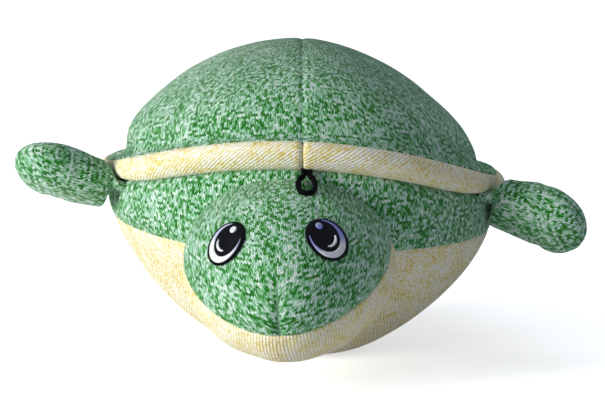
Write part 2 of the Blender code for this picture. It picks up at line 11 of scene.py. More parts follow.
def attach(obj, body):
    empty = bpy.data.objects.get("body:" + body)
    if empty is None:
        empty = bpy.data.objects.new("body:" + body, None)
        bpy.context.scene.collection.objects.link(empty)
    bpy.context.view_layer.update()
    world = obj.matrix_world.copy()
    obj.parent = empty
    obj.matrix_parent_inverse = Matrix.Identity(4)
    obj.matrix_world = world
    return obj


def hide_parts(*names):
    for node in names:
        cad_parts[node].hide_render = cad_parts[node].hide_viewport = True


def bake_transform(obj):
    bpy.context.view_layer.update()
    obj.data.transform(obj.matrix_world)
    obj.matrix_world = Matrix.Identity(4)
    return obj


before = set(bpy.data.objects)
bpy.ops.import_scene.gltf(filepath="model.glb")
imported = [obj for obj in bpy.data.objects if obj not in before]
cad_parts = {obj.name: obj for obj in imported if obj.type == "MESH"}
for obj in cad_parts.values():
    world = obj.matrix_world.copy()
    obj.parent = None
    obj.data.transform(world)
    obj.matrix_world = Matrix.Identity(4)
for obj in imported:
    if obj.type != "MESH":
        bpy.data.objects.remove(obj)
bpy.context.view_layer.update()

# Plush turtle: marl knit panels sewn over loose stuffing. Metres, the turtle faces -Y.
scene = bpy.context.scene
print("frame loaded,", len(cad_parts), "solids")

# camera first, so the framing is known before anything is made

cameraSettings = {
    "distance": 0.700,
    "elevation": math.radians(8.0),
    "target": Vector((0.0, 0.0, 0.048)),
    "focal": 129.4,
}


def makeCamera(settings):
    data = bpy.data.cameras.new("photoCamera")
    data.lens = settings["focal"]
    data.clip_start, data.clip_end = 0.05, 20.0
    camera = bpy.data.objects.new("photoCamera", data)
    scene.collection.objects.link(camera)
    rise = settings["elevation"]
    back = Vector((0.0, -math.cos(rise), math.sin(rise)))
    camera.location = settings["target"] + back * settings["distance"]
    camera.rotation_euler = (-back).to_track_quat("-Z", "Y").to_euler()
    scene.camera = camera


makeCamera(cameraSettings)


# small tools for meshes


def smoothShare(value):
    share = np.clip(value, 0.0, 1.0)
    return share * share * (3 - 2 * share)


def seamSink(distance, radius, depth):
    # how deep cloth lies below the full form, near a seam where two turned edges meet
    near = np.clip(1 - np.abs(distance) / radius, 0.0, 1.0)
    return depth * (1 - np.sqrt(1 - near**2))


def seamValley(distance, radius, depth):
    # a pressed-open seam: the cloth dips to it softly from both sides
    return depth * np.clip(1 - np.abs(distance) / radius, 0.0, 1.0) ** 1.7


def lineLengths(line):
    steps = np.linalg.norm(np.diff(line, axis=0), axis=1)
    return np.concatenate([[0.0], np.cumsum(steps)])


def resample(line, distances):
    along = lineLengths(line)
    return np.column_stack([np.interp(distances, along, line[:, k]) for k in range(line.shape[1])])


def softened(line, spacing, rounds):
    # even points along the line, rounded off but for its two ends
    count = max(4, int(lineLengths(line)[-1] / spacing))
    soft = resample(line, np.linspace(0, lineLengths(line)[-1], count))
    for _ in range(rounds):
        soft[1:-1] += 0.5 * ((soft[:-2] + soft[2:]) / 2 - soft[1:-1])
    return soft


def seamRows(length, step, close, seamAtStart=True, seamAtEnd=True):
    # distances along a panel, packed more closely next to its seams
    first = np.array(close if seamAtStart else close[:1])
    last = np.array(close if seamAtEnd else close[:1])
    run = length - first[-1] - last[-1]
    middle = np.linspace(first[-1], length - last[-1], max(2, math.ceil(run / step) + 1))
    return np.concatenate([first[:-1], middle, length - last[::-1][1:]])


def gridNormals(points):
    down = np.gradient(points, axis=0)
    across = np.gradient(points, axis=1)
    normal = np.cross(down, across)
    size = np.linalg.norm(normal, axis=2, keepdims=True)
    return normal / np.maximum(size, 1e-12)


def placePoints(points, matrix):
    flat = np.asarray(matrix, float)
    return points @ flat[:3, :3].T + flat[:3, 3]


def makeMesh(name, points, faces, corners, material):
    # corners is the knit map: one place in metres on the flat cloth for each point
    mesh = bpy.data.meshes.new(name)
    mesh.from_pydata([tuple(p) for p in points], [], [tuple(int(i) for i in f) for f in faces])
    if corners is not None:
        layer = mesh.uv_layers.new(name="knit")
        loops = np.zeros(len(mesh.loops), np.int32)
        mesh.loops.foreach_get("vertex_index", loops)
        layer.data.foreach_set("uv", np.asarray(corners, float)[loops].astype(np.float32).ravel())
    bm = bmesh.new()
    bm.from_mesh(mesh)
    bmesh.ops.remove_doubles(bm, verts=bm.verts, dist=1e-6)
    bmesh.ops.recalc_face_normals(bm, faces=bm.faces)
    bm.to_mesh(mesh)
    bm.free()
    mesh.shade_smooth()
    obj = bpy.data.objects.new(name, mesh)
    obj.data.materials.append(material)
    scene.collection.objects.link(obj)
    return obj


def gridFaces(rows, columns, start=0):
    index = start + np.arange(rows * columns).reshape(rows, columns)
    a, b = index[:-1, :-1].ravel(), index[1:, :-1].ravel()
    c, d = index[1:, 1:].ravel(), index[:-1, 1:].ravel()
    return np.column_stack([a, b, c, d])


def turnOutward(obj, middle):
    # an open panel has no inside, so its faces are turned away from a point within the toy
    faces = obj.data.polygons
    away = sum((f.center - Vector(middle)).dot(f.normal) * f.area for f in faces)
    if away < 0:
        obj.data.flip_normals()


def sewPanel(obj, middle, thickness):
    turnOutward(obj, middle)
    lining = obj.modifiers.new("cloth", "SOLIDIFY")
    lining.thickness = thickness
    lining.offset = -1.0
    lining.use_rim = False  # sewn edges lie against each other, so no cut edge shows
    lining.use_even_offset = False
    soft = obj.modifiers.new("soft", "SUBSURF")
    soft.levels = soft.render_levels = 1


def settleModifiers(obj):
    bpy.context.view_layer.update()
    graph = bpy.context.evaluated_depsgraph_get()
    mesh = bpy.data.meshes.new_from_object(obj.evaluated_get(graph), depsgraph=graph)
    obj.modifiers.clear()
    obj.data = mesh
    obj.data.shade_smooth()


# stuffing a group of sewn panels, by cloth simulation

padding = {
    "scale": 20.0,  # the solver is tuned for garments, so the toy is simulated this much larger
    "frames": 20,
    "pressure": 4.0,
    "mass": 0.08,
    "tension": 15.0,
    "bending": 0.3,
    "ease": 0.030,  # extra length in the cloth, which puckers it between its stitches
    "easeSize": 0.007,
    "easeSpread": 1.3,
    "most": 0.0012,
}


def stuffed(name, grids, held, settings):
    # grids of points are sewn along the edges that coincide; held points are gripped by stitches
    points = np.vstack([grid.reshape(-1, 3) for grid in grids])
    _, first, same = np.unique(np.round(points, 5), axis=0, return_index=True, return_inverse=True)
    same = same.reshape(-1)
    faces, start = [], 0
    for grid in grids:
        faces.append(same[gridFaces(*grid.shape[:2], start)])
        start += grid.shape[0] * grid.shape[1]
    faces = [list(dict.fromkeys(face)) for face in np.vstack(faces).tolist()]
    base = points[first]
    mesh = bpy.data.meshes.new(name + "Cloth")
    mesh.from_pydata((base * settings["scale"]).tolist(), [], [face for face in faces if len(face) > 2])
    work = bmesh.new()
    work.from_mesh(mesh)
    bmesh.ops.recalc_face_normals(work, faces=work.faces[:])
    work.to_mesh(mesh)
    work.free()
    obj = bpy.data.objects.new(name + "Cloth", mesh)
    scene.collection.objects.link(obj)
    grip = np.zeros(len(base))
    np.maximum.at(grip, same, np.concatenate([h.reshape(-1) for h in held]).astype(float))
    stitches = obj.vertex_groups.new(name="stitches")
    stitches.add([int(i) for i in np.nonzero(grip)[0]], 1.0, "REPLACE")
    tight = obj.vertex_groups.new(name="tight")
    for index, point in enumerate(base):
        level = 0.5 + settings["easeSpread"] * noise.noise(Vector(point) / settings["easeSize"])
        tight.add([index], min(1.0, max(0.0, level)), "REPLACE")
    cloth = obj.modifiers.new("cloth", "CLOTH")
    cloth.settings.quality = 5
    cloth.settings.mass = settings["mass"]
    cloth.settings.tension_stiffness = cloth.settings.compression_stiffness = settings["tension"]
    cloth.settings.bending_stiffness = settings["bending"]
    cloth.settings.use_pressure = True
    cloth.settings.uniform_pressure_force = settings["pressure"]
    cloth.settings.vertex_group_mass = "stitches"
    cloth.settings.vertex_group_shrink = "tight"
    cloth.settings.shrink_min, cloth.settings.shrink_max = -settings["ease"], 0.0
    cloth.settings.effector_weights.gravity = 0.0
    cloth.collision_settings.use_collision = False
    cloth.point_cache.frame_start, cloth.point_cache.frame_end = 1, settings["frames"]
    for moment in range(1, settings["frames"] + 1):
        scene.frame_set(moment)
    solved = obj.evaluated_get(bpy.context.evaluated_depsgraph_get()).data
    moved = np.empty(len(base) * 3)
    solved.vertices.foreach_get("co", moved)
    moved = moved.reshape(-1, 3) / settings["scale"] - base
    reach = np.linalg.norm(moved, axis=1, keepdims=True)
    # a model this small swells too far, so the whole movement is scaled to stay within the cap
    moved *= min(1.0, settings["most"] / reach.max())
    print(f"{name} stuffed: moved {reach.mean() * 1000:.2f} mm, at most {reach.max() * 1000:.2f} mm")
    bpy.data.objects.remove(obj)
    scene.frame_set(1)
    filled = (base + moved)[same]
    parts, start = [], 0
    for grid in grids:
        count = grid.shape[0] * grid.shape[1]
        parts.append(filled[start : start + count].reshape(grid.shape))
        start += count
    return parts


# materials


def linear(hexColour):
    channels = [int(hexColour[k : k + 2], 16) / 255 for k in (1, 3, 5)]
    bent = [c / 12.92 if c <= 0.04045 else ((c + 0.055) / 1.055) ** 2.4 for c in channels]
    return (*bent, 1.0)


def addNode(tree, kind, settings=None):
    # kind is the node's type and its operation; a setting that is a node or a socket is linked
    kind, _, operation = kind.partition(" ")
    node = tree.nodes.new("ShaderNode" + kind)
    if operation:
        node.operation = operation
    for key, value in (settings or {}).items():
        if isinstance(value, bpy.types.Node):
            value = value.outputs[0]
        if isinstance(value, bpy.types.NodeSocket):
            tree.links.new(value, node.inputs[key])
        elif isinstance(key, int) or key in node.inputs:
            node.inputs[key].default_value = value
        else:
            setattr(node, key, value)
    return node


def setRamp(node, stops):
    ramp = node.color_ramp
    ramp.elements.remove(ramp.elements[-1])
    ramp.elements[0].position = stops[0][0]
    ramp.elements[0].color = linear(stops[0][1])
    for position, colour in stops[1:]:
        ramp.elements.new(position).color = linear(colour)


def newMaterial(name):
    material = bpy.data.materials.new(name)
    material.use_nodes = True
    tree = material.node_tree
    return material, tree, partial(addNode, tree)


def finishMaterial(tree, colour, height, settings):
    # the surface's own numbers sit on the shader, where they can be changed by hand
    shader = tree.nodes["Principled BSDF"]
    bump = addNode(
        tree, "Bump", {"Height": height, "Strength": settings["bump"], "Distance": settings["depth"]}
    )
    tree.links.new(colour, shader.inputs["Base Color"])
    tree.links.new(bump.outputs["Normal"], shader.inputs["Normal"])
    for socket, value in settings["surface"].items():
        shader.inputs[socket].default_value = value


knitCloth = {
    "wale": 0.00098,  # jersey of a sweater-knit fleece: 26 wales to the inch
    "course": 0.00082,  # and 31 courses
    "slant": 1.4,  # how steeply the two legs of a stitch lean
    "grooves": 2,  # one beside each leg of a stitch
    "cluster": (0.62, 0.85, 0.0),  # the yarn keeps one colour for a few stitches
    "clusterStart": (0.37, 0.21, 0.0),
    "driftScale": 110.0,  # the wales wander by 0.3 mm over about 9 mm
    "drift": (0.0003, 0.0003, 0.0),
    "patchScale": 130.0,  # paler and darker places about 8 mm wide
    "plyLag": 0.37,  # how much lower, in stitches, the next ply turns over
    "fibres": (5200.0, 1500.0, 1.0),  # brushed fibres 0.2 mm thick and 0.7 mm long
    "fuzz": 0.40,
    "bump": 0.6,
    "depth": 0.00030,
    # brushed polyester: rough, with a pale bloom where it is seen along its face
    "surface": {
        "Roughness": 0.88,
        "Sheen Weight": 0.28,
        "Sheen Roughness": 0.45,
        "Specular IOR Level": 0.15,
    },
}


def makeKnit(name, cloth, colours):
    # jersey knit of two-colour marl yarn: each stitch is two leaning legs, and each leg shows
    # whichever of the yarn's colours happens to lie on top, so the eye sees flecks
    material, tree, add = newMaterial(name)
    flat = {"noise_dimensions": "2D"}
    place = add("UVMap", {"uv_map": "knit"})
    wander = add("TexNoise", {**flat, "Scale": cloth["driftScale"], "Detail": 1.0, "Vector": place})
    centred = add("VectorMath SUBTRACT", {0: wander.outputs["Color"], 1: (0.5, 0.5, 0.5)})
    eased = add("VectorMath MULTIPLY_ADD", {0: centred, 1: cloth["drift"], 2: place})
    pitch = (1 / cloth["wale"], 1 / cloth["course"], 1.0)
    split = add("SeparateXYZ", {0: add("VectorMath MULTIPLY", {0: eased, 1: pitch})})
    inWale = add("Math FRACT", {0: split})
    wale = add("Math FLOOR", {0: split})
    fromMiddle = add("Math SUBTRACT", {0: inWale, 1: 0.5})
    leg = add("Math ABSOLUTE", {0: fromMiddle})
    # wales are knitted one after another, so each starts its stitches at its own height
    ownStart = add("TexWhiteNoise", {"noise_dimensions": "1D", "W": wale})
    started = add("Math MULTIPLY_ADD", {0: ownStart, 1: cloth["stagger"], 2: split.outputs["Y"]})
    climb = add("Math MULTIPLY_ADD", {0: leg, 1: -cloth["slant"], 2: started})
    course = add("Math FLOOR", {0: climb})
    inCourse = add("Math FRACT", {0: climb})
    side = add("Math GREATER_THAN", {0: fromMiddle, 1: 0.0})
    # the marl: every leg's own colour, and a slower change over a few stitches and over the panel
    legPlace = add("Math MULTIPLY_ADD", {0: side, 1: 0.5, 2: wale})
    stitch = add("CombineXYZ", {"X": legPlace, "Y": course})
    own = add("TexWhiteNoise", {**flat, "Vector": stitch})
    spread = {0: stitch, 1: cloth["cluster"], 2: cloth["clusterStart"]}
    stretched = add("VectorMath MULTIPLY_ADD", spread)
    marl = add("TexNoise", {**flat, "Scale": 1.0, "Detail": 1.0, "Vector": stretched})
    patches = add("TexNoise", {**flat, "Scale": cloth["patchScale"], "Detail": 1.5, "Vector": place})
    # the yarn is two plies twisted together, so a leg is two strands that need not match
    ply = add("Math FLOOR", {0: add("Math MULTIPLY", {0: split, 1: 4.0})})
    lagging = add("Math MULTIPLY_ADD", {0: ply, 1: cloth["plyLag"], 2: climb})
    strand = add("CombineXYZ", {"X": ply, "Y": add("Math FLOOR", {0: lagging})})
    plyOwn = add("TexWhiteNoise", {**flat, "Vector": strand})
    parts = {"ownShare": own, "plyShare": plyOwn, "marlShare": marl, "patchShare": patches}
    level = 0.5 - sum(colours[share] for share in parts) / 2
    for share, part in parts.items():
        level = add("Math MULTIPLY_ADD", {0: part, 1: colours[share], 2: level})
    yarn = add("ValToRGB", {"Fac": level})
    setRamp(yarn, colours["stops"])
    # yarn height: a round leg between the grooves of the wale and the ends of the stitch
    legs = add("Math MULTIPLY", {0: inWale, 1: math.pi * cloth["grooves"]})
    roundLeg = add("Math ABSOLUTE", {0: add("Math SINE", {0: legs})})
    half = add("Math MULTIPLY", {0: inCourse, 1: math.pi})
    roundEnd = add("Math POWER", {0: add("Math SINE", {0: half}), 1: 0.4})
    height = add("Math MULTIPLY", {0: roundLeg, 1: roundEnd})
    # brushed fibres lie along the leg and blur its edges
    fibres = add("VectorMath MULTIPLY", {0: place, 1: cloth["fibres"]})
    fuzz = add("TexNoise", {**flat, "Scale": 1.0, "Detail": 2.0, "Vector": fibres})
    fluffy = add("Math MULTIPLY_ADD", {0: fuzz, 1: cloth["fuzz"], 2: height})
    # painted shade: where the yarn lies low between its legs and at the ends of its stitches, its
    # colour is darkened towards the gap colour, as if shade fell into the knit's grooves
    low, high = colours["grooveShadeReach"]
    reach = {"From Min": low, "From Max": high, "To Min": 1.0 - colours["grooveShadeShare"]}
    shade = add("MapRange", {**reach, "Value": fluffy})
    gap = {"data_type": "RGBA", "Factor": shade, 6: linear(colours["gap"]), 7: yarn}
    finishMaterial(tree, add("Mix", gap).outputs[2], fluffy, cloth)
    return material


greenMarl = makeKnit(
    "greenMarlJerseyKnit",
    {**knitCloth, "stagger": 0.35},
    {
        "stops": [
            (0.14, "#EAF9F3"),
            (0.32, "#BBE3D1"),
            (0.49, "#8FCAA1"),
            (0.59, "#62B15F"),
            (0.65, "#22871A"),
            (0.84, "#156C0D"),
        ],
        "ownShare": 0.42,
        "plyShare": 0.20,
        "marlShare": 1.40,
        "patchShare": 0.45,
        # the colour of the painted shade in the knit's grooves
        "gap": "#175C2C",
        "grooveShadeShare": 0.72,
        "grooveShadeReach": (0.15, 0.80),
    },
)
yellowColours = {
    "stops": [
        (0.20, "#FEFEFA"),
        (0.45, "#F9F6E0"),
        (0.60, "#F4EAB2"),
        (0.74, "#EDD77C"),
        (0.92, "#DDBC50"),
    ],
    "ownShare": 0.46,
    "plyShare": 0.30,
    "marlShare": 0.50,
    "patchShare": 0.50,
    # the colour of the painted shade in the knit's grooves
    "gap": "#A4822F",
    "grooveShadeShare": 0.62,
    "grooveShadeReach": (0.15, 0.62),
}
yellowCloth = {**knitCloth, "stagger": 0.0, "grooves": 1, "cluster": (0.95, 1.3, 0.0)}
yellowMarl = makeKnit("yellowMarlJerseyKnit", yellowCloth, yellowColours)
# the rib knit, with its own painted shade in its grooves
ribColours = {"gap": "#A98A48", "grooveShadeReach": (0.15, 0.95), "grooveShadeShare": 0.50, "ownShare": 0.30}
yellowRib = makeKnit(
    "yellowMarlRibKnit",
    {**yellowCloth, "wale": 0.00100, "slant": 0.3},
    {**yellowColours, **ribColours},
)

thread = {
    "pitch": 0.00040,  # 40-weight polyester embroidery thread
    "bump": 0.8,
    "depth": 0.00012,
    "dark": 0.55,  # painted shade and painted highlight: the brightness between two threads, and what is gained on top of one
    "rise": 0.9,
    "uneven": 0.10,
    # trilobal filament, so a satin gloss
    "surface": {"Roughness": 0.55, "Specular IOR Level": 0.05},
}


def makeSatinThread(name, settings, stops):
    # satin stitch: threads laid side by side across the shape, each painted brighter along its top and
    # darker where it meets the next, as painted highlight and shade
    material, tree, add = newMaterial(name)
    place = add("UVMap", {"uv_map": "knit"})
    counted = add("VectorMath MULTIPLY", {0: place, 1: (1 / settings["pitch"], 1.0, 1.0)})
    split = add("SeparateXYZ", {0: counted})
    wave = add("Math PINGPONG", {0: split, 1: 0.5})
    own = add("TexWhiteNoise", {"noise_dimensions": "1D", "W": add("Math FLOOR", {0: split})})
    tint = add("ValToRGB", {"Fac": split.outputs["Y"]})
    setRamp(tint, stops)
    # painted shade between threads and painted highlight along each thread's top
    level = add("Math MULTIPLY_ADD", {0: wave, 1: settings["rise"], 2: settings["dark"]})
    level = add("Math MULTIPLY_ADD", {0: own, 1: settings["uneven"], 2: level})
    lit = add("VectorMath SCALE", {0: tint, "Scale": level})
    finishMaterial(tree, lit.outputs[0], wave, settings)
    return material


blackThread = makeSatinThread("blackEmbroideryThread", thread, [(0.0, "#07080F")])
# white thread, with a lilac end that is painted shade
whiteStops = [(0.0, "#8C90E0"), (0.35, "#B9C2F0"), (0.62, "#F4F8FD")]
whiteThread = makeSatinThread("whiteEmbroideryThread", thread, whiteStops)

cordFinish = {
    "plait": 0.0009,  # one crossing of the strands
    # from the painted shade where the strands dip to the strands' own black
    "stops": [(0.15, "#010102"), (0.5, "#0B0C11")],
    "bump": 0.8,
    "depth": 0.00016,
    # dull polyester: dark, with no gleam
    "surface": {"Roughness": 0.75, "Specular IOR Level": 0.04},
}


def makeCordMaterial(name, settings):
    # plaited polyester cord: two sets of strands that cross round the cord
    material, tree, add = newMaterial(name)
    place = add("UVMap", {"uv_map": "knit"})
    split = add("SeparateXYZ", {0: add("VectorMath SCALE", {0: place, "Scale": 1 / settings["plait"]})})
    waves = []
    for crossing in ("ADD", "SUBTRACT"):
        slanted = add("Math " + crossing, {0: split.outputs["X"], 1: split.outputs["Y"]})
        waves.append(add("Math PINGPONG", {0: slanted, 1: 0.5}))
    strands = add("Math MAXIMUM", dict(enumerate(waves)))
    # the cord's colour is darker where its strands dip under each other: painted shade
    tone = add("ValToRGB", {"Fac": strands})
    setRamp(tone, settings["stops"])
    finishMaterial(tree, tone.outputs["Color"], strands, settings)
    return material


blackCord = makeCordMaterial("blackPlaitedCord", cordFinish)

fillFinish = {
    "scale": 900.0,  # tufts about 1 mm across
    "stops": [(0.3, "#D9DADC"), (0.7, "#F5F5F5")],
    "bump": 0.5,
    "depth": 0.0004,
    "surface": {"Roughness": 0.95},  # loose fibre has no gloss
}


def makeFillMaterial(name, settings):
    # loose polyester fibre, blown in
    material, tree, add = newMaterial(name)
    spot = add("TexCoord").outputs["Object"]
    curled = {"Scale": settings["scale"], "Detail": 4.0, "Distortion": 1.5}
    fibres = add("TexNoise", {**curled, "Vector": spot})
    tone = add("ValToRGB", {"Fac": fibres})
    setRamp(tone, settings["stops"])
    finishMaterial(tree, tone.outputs["Color"], fibres, settings)
    return material


fibreFill = makeFillMaterial("polyesterFibreFill", fillFinish)
print("materials made")

# body: four shell gores, a band in two halves, two side panels and a belly panel

bodyForm = {
    "width": 0.1240,
    "length": 0.1200,
    "height": 0.0995,
    "widest": 0.0480,
    "bellySeamDrop": 0.0045,
    "bowlPower": 1.55,
    "restSag": 0.0045,
    "restSoftness": 0.0020,
    "restFlat": 0.0005,
    "bandRise": 0.0035,
    "bandHeight": 0.0085,
    "bandBulge": 0.0040,
    "bandTuck": 0.0010,
    "shelfOverhang": 0.0005,
    "shelfWidth": 0.0095,
    "shelfRise": 0.0030,
    "shelfDip": 0.0012,
    "domePower": 1.75,
    "archRise": 0.0140,
    "seamDip": 0.0020,
    "lean": 0.0024,
    "domeShift": 0.0017,
    "domeShiftHeight": 0.0100,
    "domeShiftReach": 0.0120,
    "sideSeamRise": 0.0036,
    "bellyShift": 0.0009,
    "rootAngle": math.radians(71),  # where the front flippers push the band up and press it in
    "rootSpread": math.radians(13),
    "rootPush": 0.0022,
    "rootPress": 0.0022,
}
bodyMake = {
    "step": 0.0020,
    "close": (0.0, 0.0004, 0.0009, 0.0016, 0.0026),
    "cloth": 0.0009,
    "brimRoll": (0.0014, 0.0012),  # radius and depth of the groove at each seam
    "tuckRoll": (0.0016, 0.0015),
    "bellyRoll": (0.0012, 0.0004),
    "goreRoll": (0.0020, 0.0005),
    "bandEndRoll": (0.0020, 0.0013),
    "ridge": 0.0009,  # the gores' seam allowance, rolled up just above the band
    "ridgeReach": 0.0030,
    "ridgeSides": (0.62, 0.38),
    "sideFullness": (0.0023, 0.0030),  # the shell's foot, fuller right and left
    "fullnessReach": (0.007, 0.034),
    "shelfDip": 0.0013,  # the shelf over the toy's left flipper lies a little lower
    "bellyDip": (0.0042, 0.0012),  # the belly seam hangs lower on the toy's right
    "bias": math.radians(52),
    "softenRounds": 30,
}


def shelfEdge(form):
    height = form["widest"] + form["bandRise"] + form["bandHeight"]
    return np.array([form["width"] / 2 + form["shelfOverhang"], height])


def domeLine(form):
    edge = shelfEdge(form)
    base = edge + (-form["shelfWidth"], form["shelfRise"])
    angle = np.linspace(math.pi / 2, 0, 90)
    power = 2 / form["domePower"]
    across = base[0] * np.clip(np.cos(angle), 0, 1) ** power
    up = (form["height"] - base[1]) * np.clip(np.sin(angle), 0, 1) ** power
    dome = np.column_stack([across, base[1] + up])
    middle = (base + edge) / 2 - (0, form["shelfDip"])
    return np.vstack([dome, middle, edge])


def bandLine(form):
    top = shelfEdge(form)
    bottom = np.array([form["width"] / 2 - form["bandTuck"], form["widest"] + form["bandRise"]])
    run = (bottom - top) / np.linalg.norm(bottom - top)
    outward = np.array([-run[1], run[0]])
    share = np.linspace(0, 1, 24)[:, None]
    bulge = form["bandBulge"] * np.clip(np.sin(math.pi * share), 0, 1) ** 0.7
    return top + (bottom - top) * share + outward * bulge


def bowlLine(form):
    def angleAt(height):
        drop = (form["widest"] - height) / (form["widest"] + form["restSag"])
        return math.asin(drop ** (form["bowlPower"] / 2))

    flatEdge = (4 * form["restFlat"] ** 2 - form["restSoftness"] ** 2) / (4 * form["restFlat"])
    seam = angleAt(form["widest"] - form["bellySeamDrop"])
    angle = np.linspace(seam, angleAt(flatEdge), 80)
    power = 2 / form["bowlPower"]
    across = form["width"] / 2 * np.cos(angle) ** power
    height = form["widest"] - (form["widest"] + form["restSag"]) * np.sin(angle) ** power
    settled = (height + np.hypot(height, form["restSoftness"])) / 2 - form["restFlat"]
    settled[-1] = 0.0
    return np.vstack([np.column_stack([across, settled]), (0.0, 0.0)])


def settle(form, x, y, z):
    # how the head, the stuffing and the flippers' roots have shaped the round body
    seamHeight = form["widest"] - form["bellySeamDrop"]
    tuckHeight = form["widest"] + form["bandRise"]
    below = smoothShare(z / seamHeight)
    above = smoothShare((z - seamHeight) / (form["bellySeamDrop"] + form["bandRise"]))
    forward = (np.minimum(y, 0) / (form["length"] / 2)) ** 2
    rise = form["archRise"] * above - form["seamDip"] * below * (1 - above)
    lean = form["lean"] * x / (form["width"] / 2) * below
    hitch = form["sideSeamRise"] * (np.minimum(x, 0) / (form["width"] / 2)) ** 2 * below * (1 - above)
    domed = smoothShare((z - shelfEdge(form)[1]) / form["domeShiftHeight"])
    shift = form["domeShift"] * domed * x**2 / (x**2 + form["domeShiftReach"] ** 2)
    shift = shift + form["bellyShift"] * below * (1 - above)
    turn = np.arctan2(np.abs(x), -y * form["width"] / form["length"])
    nearRoot = np.exp(-(((turn - form["rootAngle"]) / form["rootSpread"]) ** 2))
    tucked = smoothShare((z - seamHeight) / (tuckHeight - seamHeight))
    tucked = tucked - smoothShare((z - tuckHeight) / form["bandHeight"])
    upBand = np.clip((z - tuckHeight) / form["bandHeight"], 0.0, 1.0)
    pressed = 1 - form["rootPress"] * nearRoot * 4 * upBand * (1 - upBand) / (form["width"] / 2)
    push = form["rootPush"] * nearRoot * tucked
    up = z + rise * forward + hitch + push - lean
    return np.stack([(x - shift) * pressed, y * pressed, up], axis=-1)


class BodySurface:
    # the whole outline from the top of the shell to the belly, cut at its three seams
    def __init__(self, form, make):
        self.form = form
        dome = softened(domeLine(form), 0.0005, make["softenRounds"])
        band = bandLine(form)
        bowl = bowlLine(form)
        side = np.vstack([band[-1], (form["width"] / 2, form["widest"]), bowl[0]])
        side = softened(side, 0.0004, 12)
        parts = [dome, band, side, bowl]
        self.line = np.vstack([parts[0]] + [part[1:] for part in parts[1:]])
        ends = np.cumsum([lineLengths(part)[-1] for part in parts])
        self.seams = [0.0, *ends]
        tangent = np.gradient(self.line, lineLengths(self.line), axis=0)
        normal = np.column_stack([-tangent[:, 1], tangent[:, 0]])
        for _ in range(6):
            normal[1:-1] = (normal[:-2] + 2 * normal[1:-1] + normal[2:]) / 4
        self.normal = normal / np.linalg.norm(normal, axis=1, keepdims=True)

    def at(self, distance, turn, sink):
        along = lineLengths(self.line)
        radius, height, outR, outZ = [
            np.interp(distance, along, values)
            for values in (self.line[:, 0], self.line[:, 1], self.normal[:, 0], self.normal[:, 1])
        ]
        radius = np.maximum(radius - outR * sink, 0)
        height = height - outZ * sink
        stretch = self.form["length"] / self.form["width"]
        return settle(self.form, radius * np.sin(turn), -radius * np.cos(turn) * stretch, height)

    def radiusAt(self, distance):
        return np.interp(distance, lineLengths(self.line), self.line[:, 0])


bodySurface = BodySurface(bodyForm, bodyMake)
quarterTurn = math.pi / 2


def panelTurns(first, last):
    # the same columns on every panel, packed next to the four places that can hold a seam
    radius = bodyForm["width"] / 2
    quarter = seamRows(radius * quarterTurn, bodyMake["step"], bodyMake["close"]) / radius
    pieces = [quarter[:-1] + k * quarterTurn for k in range(first, last)]
    return np.concatenate([*pieces, [last * quarterTurn]])


def bodyPanel(part, firstQuarter, lastQuarter, rolls, seamTurns, mapper):
    # part is 0 gore, 1 band, 2 side, 3 belly; rolls are the grooves at its upper and lower edge
    start, end = bodySurface.seams[part], bodySurface.seams[part + 1]
    rows = seamRows(end - start, bodyMake["step"], bodyMake["close"], part > 0, part < 3)
    turns = panelTurns(firstQuarter, lastQuarter)
    share, turn = np.meshgrid(rows / (end - start), turns, indexing="ij")
    toRight, toLeft = np.clip(-np.sin(turn), 0, 1), np.clip(np.sin(turn), 0, 1)
    dip = bodyMake["bellyDip"][0] * toRight**0.6 + bodyMake["bellyDip"][1] * toLeft
    start = start + (dip if part == 3 else 0)
    end = end + (dip if part == 2 else 0)
    distance = start + (end - start) * share
    sink = np.zeros_like(distance)
    if part == 0:
        # fuller on the toy's left, where the shell leans out over the band
        fullness = bodyMake["ridgeSides"][0] + bodyMake["ridgeSides"][1] * np.sin(turn)
        near = np.clip((end - distance) / bodyMake["ridgeReach"], 0, 1)
        sink -= bodyMake["ridge"] * fullness * np.sin(math.pi * near**0.8) ** 1.5
        foot, top = bodyMake["fullnessReach"]
        shelf = np.clip((end - distance - 0.0010) / (foot + 0.0010), 0, 1)
        sink += bodyMake["shelfDip"] * toLeft**3 * np.sin(math.pi * shelf)
        above = np.clip((end - distance - foot) / (top - foot), 0, 1)
        swell = bodyMake["sideFullness"][0] * toRight**2 + bodyMake["sideFullness"][1] * toLeft**2
        sink -= swell * np.sin(math.pi * above**0.45) ** 1.5
    radius = bodySurface.radiusAt(distance)
    edge = np.zeros_like(distance)
    if part > 0:
        edge = np.maximum(edge, seamSink(distance - start, *rolls[0]))
    if part < 3:
        edge = np.maximum(edge, seamSink(end - distance, *rolls[1]))
    for seamTurn in seamTurns:
        across = radius * np.sin(turn - seamTurn)
        if part == 1:
            edge = np.maximum(edge, seamSink(across, *bodyMake["bandEndRoll"]))
        else:
            sink += seamValley(across, *bodyMake["goreRoll"])
    sink += edge
    points = bodySurface.at(distance, turn, sink)
    # the stitches that hold a panel's place when it is stuffed, and the flat that the toy rests on
    held = (edge > 0.0001) | (points[..., 2] < 0.0012)
    return {"points": points, "knit": mapper(bodySurface.at(distance, turn, 0.0), turn), "held": held}


def lengthsOver(points, axis, origin):
    # true lengths over a panel's face along its rows or columns, from one of them
    steps = np.linalg.norm(np.diff(points, axis=axis), axis=2)
    total = np.insert(np.cumsum(steps, axis=axis), 0, 0.0, axis=axis)
    return total - np.take(total, [origin], axis=axis)


def goreMap(points, turn):
    # wales run up the gore's middle and meet its side seams at a slant that grows towards the top
    across = lengthsOver(points, 1, turn.shape[1] // 2)
    width = np.maximum(across[:, -1] - across[:, 0], 1e-6)[:, None]
    return np.stack([across * (width.max() / width) ** 0.8, -lengthsOver(points, 0, -1)], axis=-1)


